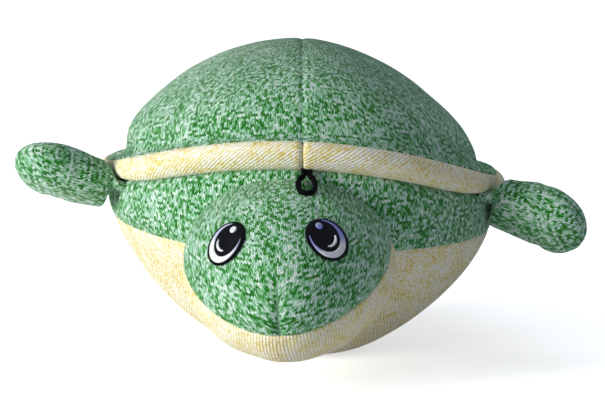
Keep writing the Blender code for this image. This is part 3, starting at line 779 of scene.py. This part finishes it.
def bandMap(points, turn):
    # cut on the bias, so the stitches cross the band at a slant
    along = lengthsOver(points, 1, 0)
    along = np.broadcast_to(along[len(along) // 2], along.shape)
    across = -lengthsOver(points, 0, -1)
    right, up = math.cos(bodyMake["bias"]), math.sin(bodyMake["bias"])
    return np.stack([along * right - across * up, along * up + across * right], axis=-1)


def sideMap(points, turn):
    along = lengthsOver(points, 1, 0)
    along = np.broadcast_to(along[len(along) // 2], along.shape)
    return np.stack([along, -lengthsOver(points, 0, -1)], axis=-1)


def bellyMap(points, turn):
    # one flat piece whose wales run from front to back
    reach = -lengthsOver(points, 0, -1)
    return np.stack([reach * np.sin(turn), reach * np.cos(turn)], axis=-1)


bodyPanels = {}
goreRolls = (None, bodyMake["brimRoll"])
bandRolls = (bodyMake["brimRoll"], bodyMake["tuckRoll"])
sideRolls = (bodyMake["tuckRoll"], bodyMake["bellyRoll"])
for name, first in (("FrontLeft", 0), ("RearLeft", 1), ("RearRight", 2), ("FrontRight", 3)):
    edges = (first * quarterTurn, (first + 1) * quarterTurn)
    bodyPanels["shellGore" + name] = bodyPanel(0, first, first + 1, goreRolls, edges, goreMap)
for name, first in (("Left", 0), ("Right", 2)):
    edges = (first * quarterTurn, (first + 2) * quarterTurn)
    bodyPanels["shellBand" + name] = bodyPanel(1, first, first + 2, bandRolls, edges, bandMap)
    bodyPanels["bodySide" + name] = bodyPanel(2, first, first + 2, sideRolls, edges, sideMap)
bodyPanels["bellyPanel"] = bodyPanel(3, 0, 4, (bodyMake["bellyRoll"], None), (), bellyMap)

bodyMiddle = Vector((0, 0, bodyForm["widest"]))


def nodeName(name):
    # each piece stands for the solid of its own name, which is written with underscores
    return "".join("_" + letter.lower() if letter.isupper() else letter for letter in name)


def finishPiece(obj, body):
    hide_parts(nodeName(obj.name))
    if body:
        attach(obj, body)


def makeStuffing(name, points, body, seat=None):
    # a closed grid round loose filling, cut to the piece that it is seated on
    obj = makeMesh(name, points.reshape(-1, 3), gridFaces(*points.shape[:2]), None, fibreFill)
    if seat:
        cut = obj.modifiers.new("seat", "BOOLEAN")
        cut.operation, cut.solver, cut.object = "DIFFERENCE", "EXACT", seat
        settleModifiers(obj)
    finishPiece(obj, body)
    return obj


def makeBodyPieces():
    panels = bodyPanels.values()
    grids, held = ([panel[part] for panel in panels] for part in ("points", "held"))
    for panel, points in zip(panels, stuffed("body", grids, held, padding)):
        panel["points"] = points
    for name, panel in bodyPanels.items():
        rows, columns = panel["points"].shape[:2]
        isYellow = name.startswith(("shellBand", "belly"))
        obj = makeMesh(
            name,
            panel["points"].reshape(-1, 3),
            gridFaces(rows, columns),
            panel["knit"].reshape(-1, 2),
            yellowMarl if isYellow else greenMarl,
        )
        sewPanel(obj, bodyMiddle, bodyMake["cloth"])
        finishPiece(obj, "body")
    print("body panels made")


def bodyShellTree():
    # the closed form of the body's face, for finding what lies inside it
    points, faces, start = [], [], 0
    for panel in bodyPanels.values():
        rows, columns = panel["points"].shape[:2]
        points.append(panel["points"].reshape(-1, 3))
        faces.append(gridFaces(rows, columns, start))
        start += rows * columns
    return BVHTree.FromPolygons(np.vstack(points).tolist(), np.vstack(faces).tolist())


def makeBodyStuffing():
    rows = np.linspace(0, bodySurface.seams[-1], 60)
    turns = np.linspace(0, math.tau, 73)
    distance, turn = np.meshgrid(rows, turns, indexing="ij")
    points = bodySurface.at(distance, turn, np.full_like(distance, 0.0027))
    return makeStuffing("bodyStuffing", points, "body")


# head: crown with a nose dart, chin panel

headForm = {
    "width": 0.0635,
    "height": 0.0520,
    "length": 0.0820,
    "seat": 0.0080,
    "drop": 0.0114,
    "pitch": math.radians(12),
    "turn": math.radians(4.5),
    "roll": math.radians(2),
    "snoutTaper": 0.16,
    "mouthRise": 0.0052,
    "mouthTilt": math.radians(18),
    "dartLength": 0.0185,
}
headMake = {
    "columns": 96,
    "step": 0.0020,
    "close": (0.0, 0.0004, 0.0009, 0.0016, 0.0026),
    "mouthRoll": (0.0013, 0.0007),
    "dartRoll": (0.0022, 0.0009),
    "fan": math.radians(34),  # how far the wales turn away from the dart
    "fanReach": 0.030,
    "reach": (0.055, 0.045),  # from the mouth seam over the crown, and under the chin
    "cloth": 0.0009,
    "lostDepth": 0.0035,  # how far the crown runs on inside the body before it is cut off
}


def headPlace(form):
    turn = Matrix.Rotation(-form["turn"], 4, "Z")
    roll = Matrix.Rotation(-form["roll"], 4, "Y")
    pitch = Matrix.Rotation(form["pitch"], 4, "X")
    forward = bodyForm["length"] / 2 - form["seat"]
    return turn @ Matrix.Translation((0, -forward, bodyForm["widest"] - form["drop"])) @ roll @ pitch


def headPoint(form, direction):
    taper = 1 - form["snoutTaper"] * np.maximum(0, -direction[..., 1]) ** 2
    scale = np.array([form["width"], form["length"], form["height"]]) / 2
    point = direction * scale
    point[..., 0] *= taper
    return point


def headNormal(form, direction):
    spare = np.where(np.abs(direction[..., 2:]) < 0.9, (0.0, 0.0, 1.0), (1.0, 0.0, 0.0))
    first = np.cross(direction, spare)
    first /= np.linalg.norm(first, axis=-1, keepdims=True)
    second = np.cross(direction, first)
    small = 1e-3

    def moved(step):
        shifted = direction + step * small
        return headPoint(form, shifted / np.linalg.norm(shifted, axis=-1, keepdims=True))

    normal = np.cross(moved(first) - moved(-first), moved(second) - moved(-second))
    normal /= np.linalg.norm(normal, axis=-1, keepdims=True)
    flip = np.sign(np.sum(normal * headPoint(form, direction), axis=-1, keepdims=True))
    return normal * flip


tiltSine, tiltCosine = math.sin(headForm["mouthTilt"]), math.cos(headForm["mouthTilt"])
mouthSideways = np.array([1.0, 0.0, 0.0])
mouthForward = np.array([0.0, -tiltCosine, -tiltSine])
mouthUp = np.array([0.0, -tiltSine, tiltCosine])
# height of the dart's tip, over the middle of the head
dartTip = headForm["mouthRise"] + headForm["dartLength"]
dartTip -= math.tan(headForm["mouthTilt"]) * headForm["length"] / 2


def mouthDirection(around, rise):
    level = np.sin(around)[..., None] * mouthSideways + np.cos(around)[..., None] * mouthForward
    return np.cos(rise)[..., None] * level + np.sin(rise)[..., None] * mouthUp


def mouthRiseAngle(around):
    # where each meridian of the head meets the plane of the mouth seam
    low, high = np.full_like(around, -1.2), np.full_like(around, 1.2)
    for _ in range(40):
        middle = (low + high) / 2
        point = headPoint(headForm, mouthDirection(around, middle))
        over = (point - (0, 0, headForm["mouthRise"])) @ mouthUp > 0
        high, low = np.where(over, middle, high), np.where(over, low, middle)
    return (low + high) / 2


def headColumns():
    # columns packed next to the dart, which runs down the front
    packed = np.array([0.0, 0.4, 0.8, 1.3, 2.0, 3.0]) / 1000 / (headForm["length"] * 0.42)
    rest = np.linspace(packed[-1], math.pi, headMake["columns"] // 2)
    half = np.concatenate([packed[:-1], rest])
    return np.concatenate([-half[::-1], half[1:]])


def dartSink(point):
    reach = smoothShare((dartTip - point[..., 2]) / headForm["dartLength"] * 1.6) * (point[..., 1] < 0)
    return seamValley(point[..., 0], *headMake["dartRoll"]) * reach


def headPanel(isCrown):
    columns = headColumns()
    seam = mouthRiseAngle(columns)
    pole = math.pi / 2 if isCrown else -math.pi / 2
    share = np.linspace(0, 1, 200)[:, None]
    rises = seam + (pole - seam) * share
    dense = headPoint(headForm, mouthDirection(np.broadcast_to(columns, rises.shape), rises))
    rows = []
    for k in range(len(columns)):
        along = lineLengths(dense[:, k])
        first = np.array(headMake["close"])
        count = math.ceil(headMake["reach"][0 if isCrown else 1] / headMake["step"])
        middle = np.linspace(first[-1], along[-1], count)
        rows.append(np.interp(np.concatenate([first[:-1], middle]), along, rises[:, k]))
    rise = np.array(rows).T
    around = np.broadcast_to(columns, rise.shape)
    direction = mouthDirection(around, rise)
    point = headPoint(headForm, direction)
    off = (point - (0, 0, headForm["mouthRise"])) @ mouthUp
    sink = seamSink(off, *headMake["mouthRoll"])
    if isCrown:
        sink = np.maximum(sink, dartSink(point))
    return direction, point, sink, around, rise


def arcOver(angle, first, second):
    # length over an ellipse from its middle, for an angle that sweeps from its first half axis
    table = np.linspace(0, math.pi, 400)
    speed = np.hypot(first * np.cos(table), second * np.sin(table))
    lengths = np.concatenate([[0.0], np.cumsum((speed[1:] + speed[:-1]) / 2 * np.diff(table))])
    return np.sign(angle) * np.interp(np.abs(angle), table, lengths)


def crownMap(direction, point):
    # wales run up the face; below the dart's tip they fan out from it, as a closed dart makes them
    halfWidth, halfLength, halfHeight = (headForm[size] / 2 for size in ("width", "length", "height"))
    side = np.arctan2(direction[..., 0], -direction[..., 1])
    rise = np.arcsin(np.clip(direction[..., 2], -1, 1))
    across = arcOver(side, halfWidth * 0.9, halfLength) * np.cos(rise)
    up = arcOver(rise, halfHeight, halfLength)
    below = np.clip(dartTip - point[..., 2], 0, 0.02) * (point[..., 1] < 0)
    below = below**2 / (below + 0.002)
    fan = headMake["fan"] * np.exp(-np.abs(point[..., 0]) / headMake["fanReach"])
    return np.stack([across + np.sign(point[..., 0]) * below * np.tan(fan), up], axis=-1)


def chinMap(point, around, rise):
    # ribs run square to the mouth seam
    along = lengthsOver(point, 1, point.shape[1] // 2)
    return np.stack([np.broadcast_to(along[3], along.shape), lengthsOver(point, 0, 0)], axis=-1)


headFrame = headPlace(headForm)


def makeHeadPieces(bodyTree):
    eyes = [EyePlace(side).centre for side in (1, -1)]
    grids, held, maps = [], [], []
    for isCrown in (True, False):
        direction, point, sink, around, rise = headPanel(isCrown)
        grids.append(point - headNormal(headForm, direction) * sink[..., None])
        maps.append(crownMap(direction, point) if isCrown else chinMap(point, around, rise))
        # embroidery stiffens the cloth round each eye
        near = np.minimum(*(np.linalg.norm(point - eye, axis=-1) for eye in eyes))
        held.append((sink > 0.0001) | (near < 0.0092))
    grids = stuffed("head", grids, held, padding)
    for name, isCrown, sunk, knit in zip(("headCrown", "headChin"), (True, False), grids, maps):
        world = placePoints(sunk.reshape(-1, 3), headFrame)
        faces = gridFaces(*sunk.shape[:2])
        kept = ~lostInside(world, bodyTree, headMake["lostDepth"])
        faces = faces[kept[faces].any(axis=1)]
        obj = makeMesh(name, world, faces, knit.reshape(-1, 2), greenMarl if isCrown else yellowRib)
        dropLoose(obj)
        sewPanel(obj, headFrame.translation, headMake["cloth"])
        finishPiece(obj, "body")
    print("head made")


def lostInside(points, tree, depth):
    lost = np.zeros(len(points), bool)
    for k, point in enumerate(points):
        place, normal, _, distance = tree.find_nearest(Vector(point))
        lost[k] = (Vector(point) - place).dot(normal) < 0 and distance > depth
    return lost


def dropLoose(obj):
    bm = bmesh.new()
    bm.from_mesh(obj.data)
    bmesh.ops.delete(bm, geom=[v for v in bm.verts if not v.link_faces], context="VERTS")
    bm.to_mesh(obj.data)
    bm.free()


def makeHeadStuffing(seat):
    sideways, rise = np.meshgrid(np.linspace(-math.pi, math.pi, 41), np.linspace(-1.57, 1.57, 25))
    direction = mouthDirection(sideways, rise)
    points = headPoint(headForm, direction) - headNormal(headForm, direction) * 0.0026
    makeStuffing("headStuffing", placePoints(points, headFrame), "body", seat)


# embroidered eyes

eyeForm = {
    "sideAngle": math.radians(38.7),
    "offsetAngle": math.radians(-1.9),
    "riseAngle": math.radians(38.4),
    "skewAngle": math.radians(1.1),
    "tilt": math.radians(-15),
}
eyeMake = {
    "edge": 0.0004,  # height of a pad's rim over the cloth
    "topRows": 10,
    "sideRows": 5,
    "flatness": 8,  # a satin stitch pad is flat on top and rolls down at its edge
    "shadeTurn": math.radians(75),
}
eyePads = {
    # sizes are half widths and half heights in metres; tones are for the toy's left and right eye,
    # 0 for the lilac end of the white thread and 1 for white; the lilac is painted shade, deeper on the
    # toy's left eye, which sits on the shaded side
    "Patch": {
        "slot": "black_thread", "middle": (0.0, 0.0), "half": (0.00685, 0.00720), "base": -0.0004,
        "top": 0.0008, "jag": 0.0002, "tones": (0.0, 0.0),
    },
    "White": {
        "slot": "white_thread", "middle": (-0.0001, -0.0001), "half": (0.0056, 0.0063),
        "turns": (-194, 88), "fullest": -60, "width": 0.0023, "tip": 0.10, "top": 0.0010,
        "tones": ((0.0, 1.0), (0.45, 1.2)),
    },
    "Highlight": {
        "slot": "white_thread", "middle": (-0.0014, 0.0042), "half": (0.00115, 0.00115), "base": 0.0,
        "top": 0.0012, "jag": 0.0, "tones": (0.15, 1.0),
    },
    "Curl": {
        "slot": "white_thread", "middle": (-0.0003, 0.0001), "half": (0.0029, 0.002987),
        "turns": (-106, 14), "fullest": -45, "width": 0.0009, "tip": 0.55, "top": 0.0012,
        "tones": ((0.9, 1.2), (0.9, 1.2)),
    },
}


class EyePlace:
    # marks on the eye, out towards the cheek and up, taken onto the crown
    def __init__(self, side):
        angle = eyeForm["sideAngle"] * side + eyeForm["offsetAngle"]
        rise = eyeForm["riseAngle"] + eyeForm["skewAngle"] * side
        middle = np.array([math.sin(angle), -math.cos(angle), math.tan(rise)])
        middle /= np.linalg.norm(middle)
        out = Vector(headNormal(headForm, middle[None])[0])
        level = Vector((0, 0, 1)).cross(out).normalized() * side
        tilt = Matrix.Rotation(eyeForm["tilt"] * side, 3, out)
        self.centre = headPoint(headForm, middle[None])[0]
        self.across = np.array(tilt @ level)
        self.up = np.array(tilt @ out.cross(level * side))

    def surface(self, u, v, lift):
        near = self.centre + u[..., None] * self.across + v[..., None] * self.up
        half = np.array([headForm["width"], headForm["length"], headForm["height"]]) / 2
        direction = near / half
        direction[..., 0] /= 1 - headForm["snoutTaper"] * np.maximum(0, -direction[..., 1]) ** 2
        direction /= np.linalg.norm(direction, axis=-1, keepdims=True)
        return headPoint(headForm, direction) + headNormal(headForm, direction) * lift[..., None]


def padMesh(name, place, pad, angle, reach, lift, stitch):
    # reach is the half width and half height of the oval that each point lies on
    u = pad["middle"][0] + reach[0] * np.cos(angle)
    v = pad["middle"][1] + reach[1] * np.sin(angle)
    world = placePoints(place.surface(u, v, lift).reshape(-1, 3), headFrame)
    material = blackThread if pad["slot"] == "black_thread" else whiteThread
    return makeMesh(name, world, gridFaces(*u.shape), stitch.reshape(-1, 2), material)


def discPad(name, place, pad, tone):
    # a ball's rows, so the pad is closed below as well
    halfWidth, halfHeight = pad["half"]
    count = max(48, int(math.tau * halfHeight / thread["pitch"]) * 4)
    turns = np.linspace(0, math.tau, count + 1)
    rows = eyeMake["topRows"]
    under = np.linspace(1, 0, eyeMake["sideRows"])[1:] * 0.96
    rings = np.concatenate([np.linspace(0, 1, rows) ** 0.8, under])
    share, angle = np.meshgrid(rings, turns, indexing="ij")
    # every other stitch ends a little further out
    ends = 1 + pad["jag"] / halfWidth * np.where(np.arange(count + 1) % 4 < 2, 1.0, -1.0) * share**6
    edge = min(eyeMake["edge"], pad["top"] / 2)
    rolled = edge + (pad["top"] - edge) * np.sqrt(np.clip(1 - share ** eyeMake["flatness"], 0, 1))
    lift = np.where((np.arange(len(rings)) < rows)[:, None], rolled, pad["base"])
    along = angle * (halfWidth + halfHeight) / 2
    # painted shade: the pad's tone runs paler towards its top and deeper towards its foot
    stitch = np.stack([along, tone + 0.35 * share * np.sin(angle)], axis=-1)
    reach = (halfWidth * share * ends, halfHeight * share * ends)
    return padMesh(name, place, pad, angle, reach, lift, stitch)


def arcPad(name, place, pad, tones):
    # a crescent of stitches laid across it, widest at one place and drawn to a point at its ends
    start, end = (math.radians(turn) for turn in pad["turns"])
    along = np.linspace(0, 1, 64)
    full = (math.radians(pad["fullest"]) - start) / (end - start)
    swell = np.where(along < full, along / full, (1 - along) / (1 - full))
    spread = pad["tip"] + (1 - pad["tip"]) * np.sin(np.clip(swell, 0, 1) * math.pi / 2) ** 1.4
    spread *= np.sqrt(np.clip(1 - (2 * along - 1) ** 16, 0, 1))
    share, turn = np.meshgrid(along, np.linspace(0, math.tau, 17), indexing="ij")
    angle = start + (end - start) * share
    # the outer edge keeps its place on the ellipse and the inner edge moves
    inward = pad["width"] / 2 * spread[:, None] * (1 - np.cos(turn))
    lift = pad["top"] * (0.5 + 0.5 * np.sign(np.sin(turn)) * np.abs(np.sin(turn)) ** 0.4)
    # painted shade: the crescent is lilac, turning white only towards its foot
    tone = tones[0] + (tones[1] - tones[0]) * np.maximum(0, np.cos(angle + eyeMake["shadeTurn"]))
    stitch = np.stack([share * (end - start) * sum(pad["half"]) / 2, tone], axis=-1)
    reach = (pad["half"][0] - inward, pad["half"][1] - inward)
    return padMesh(name, place, pad, angle, reach, lift, stitch)


def makeEye(sideName, side):
    place = EyePlace(side)
    for partName, pad in eyePads.items():
        make = arcPad if "turns" in pad else discPad
        obj = make("eye" + partName + sideName, place, pad, pad["tones"][0 if side > 0 else 1])
        turnOutward(obj, headFrame.translation)
        finishPiece(obj, "body")


# flippers and tail

frontRoot = {
    "gap": 0.00065,
    "nose": 0.0016,
    "drop": 0.0016,
    "rootShare": 0.92,
    "cornerShare": 0.84,
    "fill": 0.0021,
    "twistShare": 0.08,  # the flipper folds over right at its root seam
    "swellShare": 0.12,
    "tipShare": 0.60,
    "reach": 0.45,  # share of the length over which the root leans in to the body
    "lean": 0.42,
    "taper": 0.16,
}
rearRoot = {
    "gap": 0.0003,
    "nose": 0.0022,
    "fill": 0.0022,
    "drop": 0.0028,
    "rootShare": 0.86,
    "cornerShare": 0.86,
    "twistShare": 0.42,
    "swellShare": 0.46,
    "tipShare": 0.56,
    "reach": 0.45,
    "lean": 0.0,
    "taper": 0.0,
}
lobeMake = {
    "stations": 34,
    "columns": 28,
    "edgeRoll": (0.0011, 0.0008),
    "edgeCrowding": 0.42,  # how far the stations are drawn towards the edge seam
    "rootHold": 0.0030,  # length at the root that the stuffing can't move
    "fillDepth": 0.0020,
    "rootDepth": 0.0030,  # how far the root runs on into the seam under the band
    "bendStart": -0.0012,
    "bendEnd": 0.0050,
    "cloth": 0.0008,
}
frontLobe = {
    # angles in degrees, lengths in metres
    "root": frontRoot,
    "length": 0.0307,
    "width": 0.0214,
    "thickness": 0.0140,
}
rearLobe = {
    "root": rearRoot,
    "lift": -10,
    "length": 0.0250,
    "width": 0.0180,
    "thickness": 0.0115,
    "curl": 0.05,
}
lobes = {
    "frontFlipperLeft": {**frontLobe, "angle": 71, "lift": -15.5, "twist": -57, "curl": 0.06},
    "frontFlipperRight": {**frontLobe, "angle": -71, "lift": 14, "twist": 27, "curl": -0.07},
    "rearFlipperLeft": {**rearLobe, "angle": 144, "twist": 14},
    "rearFlipperRight": {**rearLobe, "angle": -144, "twist": -14},
    "tail": {
        **rearLobe,
        "angle": 180,
        "twist": 0,
        "lift": -14,
        "length": 0.0180,
        "width": 0.0130,
        "thickness": 0.0090,
    },
}


def seamPoint(angle):
    # the seam under the band, at an angle round the body from the head
    tuck = bodySurface.seams[2]
    return Vector(bodySurface.at(np.array(tuck), np.array(angle), 0.0))


def hingePlace(angle, rootWidth, lift, standoff, drop):
    spread = rootWidth / bodyForm["width"]
    along = (seamPoint(angle + spread) - seamPoint(angle - spread)).normalized()
    out = along.cross(Vector((0, 0, 1))).normalized()
    up = out.cross(along).normalized()
    place = Matrix((out, along, up)).transposed().to_4x4()
    place.translation = seamPoint(angle) + out * standoff - up * drop
    return place @ Matrix.Rotation(-lift, 4, "Y")


def lobeSizes(lobe, x):
    length, root = lobe["length"], lobe["root"]
    past = np.clip((x / length - root["tipShare"]) / (1 - root["tipShare"]), 0, 1)
    tip = np.sqrt(np.clip(1 - past**2, 0, 1))
    rootWidth = lobe["width"] / 2 * root["cornerShare"]
    swell = smoothShare(x / (root["swellShare"] * length))
    spread = smoothShare(x / (root["tipShare"] * length))
    thick = (root["fill"] + (lobe["thickness"] / 2 - root["fill"]) * swell) * tip
    wide = (rootWidth + (lobe["width"] / 2 - rootWidth) * spread) * tip
    return wide, thick


def bendLobe(lobe, points):
    x, y, z = points[..., 0], points[..., 1], points[..., 2]
    share = smoothShare(x / (lobe["root"]["twistShare"] * lobe["length"]))
    twist = math.radians(lobe["twist"]) * share
    turnedY = y * np.cos(twist) - z * np.sin(twist)
    turnedZ = y * np.sin(twist) + z * np.cos(twist)
    # near the root the lower corner leans in to the body and the upper one is drawn down
    near = share * (1 - smoothShare(x / (lobe["root"]["reach"] * lobe["length"])))
    leaned = x - lobe["root"]["lean"] * near * np.maximum(0, -turnedZ)
    turnedZ = turnedZ - lobe["root"]["taper"] * near * np.maximum(0, turnedZ)
    drop = lobe["curl"] * lobe["length"] * np.maximum(0, x / lobe["length"]) ** 2
    return np.stack([leaned, turnedY, turnedZ - drop], axis=-1)


def lobeGrid(lobe, sunk, hasSeam):
    start = -lobeMake["rootDepth"] if hasSeam else lobe["root"]["nose"]
    length = lobe["length"] - sunk
    run = np.linspace(0, 1, lobeMake["stations"])
    x = start + (length - start) * np.sin(run * math.pi / 2)
    turn = np.linspace(0, math.tau, 2 * lobeMake["columns"] + 1)
    turn = turn - lobeMake["edgeCrowding"] * np.sin(2 * turn) / 2
    station, around = np.meshgrid(x, turn, indexing="ij")
    wide, thick = lobeSizes(lobe, station * lobe["length"] / length if sunk else station)
    wide, thick = np.maximum(wide - sunk, 0), np.maximum(thick - sunk, 0)
    if not hasSeam:
        ends = np.sqrt(np.clip(run * 6, 0, 1))[:, None]
        wide, thick = wide * ends, thick * ends
    points = np.stack([station, wide * np.cos(around), thick * np.sin(around)], axis=-1)
    held = station < lobeMake["rootHold"]
    if hasSeam:
        normal = gridNormals(points)
        normal[:, 0] = normal[:, -1] = (normal[:, 0] + normal[:, -1]) / 2
        fromMiddle = points - (lobe["length"] / 2, 0, 0)
        outward = np.sign(np.sum(normal * fromMiddle, axis=-1, keepdims=True))
        sink = seamSink(points[..., 2], *lobeMake["edgeRoll"])
        sink = sink * smoothShare((station - 0.001) / 0.004)
        sink = sink * smoothShare(thick / 0.002)
        points = points - normal * outward * sink[..., None]
        held = held | (sink > 0.0001)
    # wales run out from the root, each as far from the middle wale as it is over the cloth
    middle = points[:, lobeMake["columns"] // 2]
    climb = np.broadcast_to(lineLengths(middle)[:, None], station.shape)
    steps = np.linalg.norm(np.diff(points, axis=1), axis=2)
    over = np.concatenate([np.zeros((len(x), 1)), np.cumsum(steps, axis=1)], axis=1)
    half = lobeMake["columns"]
    across = np.where(
        np.arange(2 * half + 1) <= half,
        over - over[:, half // 2, None],
        over[:, half + half // 2, None] - over,
    )
    knit = np.stack([across, climb], axis=-1)
    return bendLobe(lobe, points), knit, held


def makeLobe(name, lobe):
    root = lobe["root"]
    standoff = bodyForm["bandTuck"] * root["drop"] / bodyForm["bandRise"] + root["nose"] + root["gap"]
    place = hingePlace(
        math.radians(lobe["angle"]), lobe["width"] * root["rootShare"], math.radians(lobe["lift"]),
        standoff, root["drop"],
    )
    node, out = nodeName(name), place.col[0].xyz
    points, knit, held = lobeGrid(lobe, 0.0, True)
    points = stuffed(name, [points], [held], padding)[0]
    middle = place @ Vector((lobe["length"] / 2, 0, 0))
    half = lobeMake["columns"]
    for panelName, columns in (("Upper", slice(0, half + 1)), ("Lower", slice(half, 2 * half + 1))):
        part = placePoints(points[:, columns].reshape(-1, 3), place)
        faces = gridFaces(len(points), half + 1)
        obj = makeMesh(name + panelName, part, faces, knit[:, columns].reshape(-1, 2), greenMarl)
        sewPanel(obj, middle, lobeMake["cloth"])
        settleModifiers(obj)
        finishPiece(obj, None)
        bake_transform(obj)
    filling = lobeGrid(lobe, lobeMake["fillDepth"], False)[0]
    makeStuffing(name + "Stuffing", placePoints(filling, place), node)


# hanging loop, a doubled cord sewn in under the band

loopForm = {
    "cord": 0.0016,
    "width": 0.0066,
    "length": 0.0090,
    "neck": -0.0003,  # the ring itself starts inside the seam
    "squareness": 0.66,  # under 1 the ring is rounder at its neck
    "bend": (-0.0014, 0.0008),  # two places along the cord, behind and before its hinge
    "endSpacing": 0.00160,
    "drop": 0.0012,
    "lift": math.radians(-31),
    "angle": math.radians(1.2),
    "seatGap": 0.0003,
    "seamRun": (0.0032, 0.0016),  # how far the ends run back into the seam
}


def makeLoop(form):
    radius = form["cord"] / 2
    standoff = bodyForm["bandTuck"] + radius + form["seatGap"]
    place = hingePlace(form["angle"], form["width"], form["lift"], standoff, form["drop"])
    halfWidth = form["width"] / 2 - radius
    halfLength = (form["length"] - form["neck"]) / 2 - radius
    middle = form["length"] - radius - halfLength
    opening = math.asin((form["endSpacing"] / 2 / halfWidth) ** (1 / form["squareness"]))
    angle = np.linspace(opening, math.tau - opening, 60)
    across = np.sign(np.sin(angle)) * np.abs(np.sin(angle)) ** form["squareness"]
    ring = np.column_stack([middle - halfLength * np.cos(angle), -halfWidth * across, 0 * angle])
    half = form["endSpacing"] / 2
    first, last = ([(-run, side, 0) for run in form["seamRun"]] for side in (-half, half))
    line = softened(np.vstack([first, ring, last[::-1]]), 0.0003, 6)
    tangent = np.gradient(line, axis=0)
    tangent /= np.linalg.norm(tangent, axis=1, keepdims=True)
    up = np.array([0.0, 0.0, 1.0])
    side = np.cross(tangent, up)
    around = np.linspace(0, math.tau, 17)
    rim = np.cos(around)[None, :, None] * side[:, None] + np.sin(around)[None, :, None] * up
    points = line[:, None] + rim * radius
    along = np.broadcast_to(lineLengths(line)[:, None], points.shape[:2])
    knit = np.stack([along, np.broadcast_to(around * radius, points.shape[:2])], axis=-1)
    world = placePoints(points.reshape(-1, 3), place)
    obj = makeMesh("hangLoop", world, gridFaces(*points.shape[:2]), knit.reshape(-1, 2), blackCord)
    finishPiece(obj, None)
    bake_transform(obj)
    print("hanging loop made")


# put together

makeBodyPieces()
bodyFilling = makeBodyStuffing()
makeHeadPieces(bodyShellTree())
makeHeadStuffing(bodyFilling)
for eyeName, eyeSide in (("Left", 1), ("Right", -1)):
    makeEye(eyeName, eyeSide)
print("eyes made")
for lobeName, lobeSettings in lobes.items():
    makeLobe(lobeName, lobeSettings)
print("flippers and tail made")
makeLoop(loopForm)


# floor, backdrop and studio light

studio = {
    "floorSize": 12.0,
    "floor": ("#F4F5F7", "#F8F9FA"),
    "grainScale": 60.0,  # the paper's tone changes over about 17 mm
    "nearGlow": 0.62,  # the paper's own brightness to the eye under the toy, and 1 away from it
    "glowReach": (0.07, 0.26),
    "sky": 0.20,
    "skyColour": "#DCE6F6",
    "aim": Vector((0.0, 0.0, 0.045)),
    "lamps": [
        # name, place, size, watts, colour
        ("keyLamp", (-0.93, -0.56, 0.24), 0.42, 13.0, "#FFFDF6"),
        ("fillLamp", (0.75, -0.75, 0.30), 0.8, 0.55, "#DDE7FF"),
        ("topLamp", (0.0, 0.0, 1.0), 0.7, 1.9, "#F4F8FF"),
    ],
}


def seenRays(tree):
    # 1 for what the camera sees, also in a gloss or through a piece, and 0 for light on the toy
    ray = addNode(tree, "LightPath").outputs
    seen = addNode(tree, "Math MAXIMUM", {0: ray["Is Camera Ray"], 1: ray["Is Glossy Ray"]})
    return addNode(tree, "Math MAXIMUM", {0: seen, 1: ray["Is Transmission Ray"]})


def makeFloor(settings):
    # seamless paper: matt, and bright enough away from the toy to show as plain white
    material, tree, add = newMaterial("seamlessPaper")
    shader = tree.nodes["Principled BSDF"]
    shader.inputs["Roughness"].default_value = 0.9
    shader.inputs["Specular IOR Level"].default_value = 0.1
    shader.inputs["Emission Color"].default_value = (1, 1, 1, 1)
    spot = add("TexCoord").outputs["Object"]
    grain = add("TexNoise", {"Scale": settings["grainScale"], "Detail": 2.0, "Vector": spot})
    dark, pale = (linear(colour) for colour in settings["floor"])
    tone = add("Mix", {"data_type": "RGBA", "Factor": grain, 6: dark, 7: pale})
    away = add("VectorMath LENGTH", {0: spot}).outputs["Value"]
    first, last = settings["glowReach"]
    reach = {"From Min": first, "From Max": last, "To Min": settings["nearGlow"]}
    glow = add("MapRange", {**reach, "Value": away})
    shown = add("Math MULTIPLY", {0: seenRays(tree), 1: glow})
    tree.links.new(tone.outputs[2], shader.inputs["Base Color"])
    tree.links.new(shown.outputs[0], shader.inputs["Emission Strength"])
    bpy.ops.mesh.primitive_plane_add(size=settings["floorSize"], location=(0, 0, 0))
    floor = bpy.context.object
    floor.name = "floor"
    floor.data.materials.append(material)


def makeLights(settings):
    for name, place, size, watts, colour in settings["lamps"]:
        lamp = bpy.data.lights.new(name, "AREA")
        lamp.size, lamp.energy = size, watts
        lamp.color = linear(colour)[:3]
        holder = bpy.data.objects.new(name, lamp)
        holder.location = place
        holder.rotation_euler = (settings["aim"] - Vector(place)).to_track_quat("-Z", "Y").to_euler()
        scene.collection.objects.link(holder)
    world = bpy.data.worlds.new("studioWorld")
    scene.world = world
    world.use_nodes = True
    world.node_tree.nodes.clear()
    add = partial(addNode, world.node_tree)
    soft = add("Background", {"Color": linear(settings["skyColour"]), "Strength": settings["sky"]})
    white = add("Background", {"Color": (1, 1, 1, 1), "Strength": 1.0})
    either = add("MixShader", {0: seenRays(world.node_tree), 1: soft, 2: white})
    add("OutputWorld", {"Surface": either})


makeFloor(studio)
makeLights(studio)
scene.view_settings.view_transform = "Standard"
print("studio made")
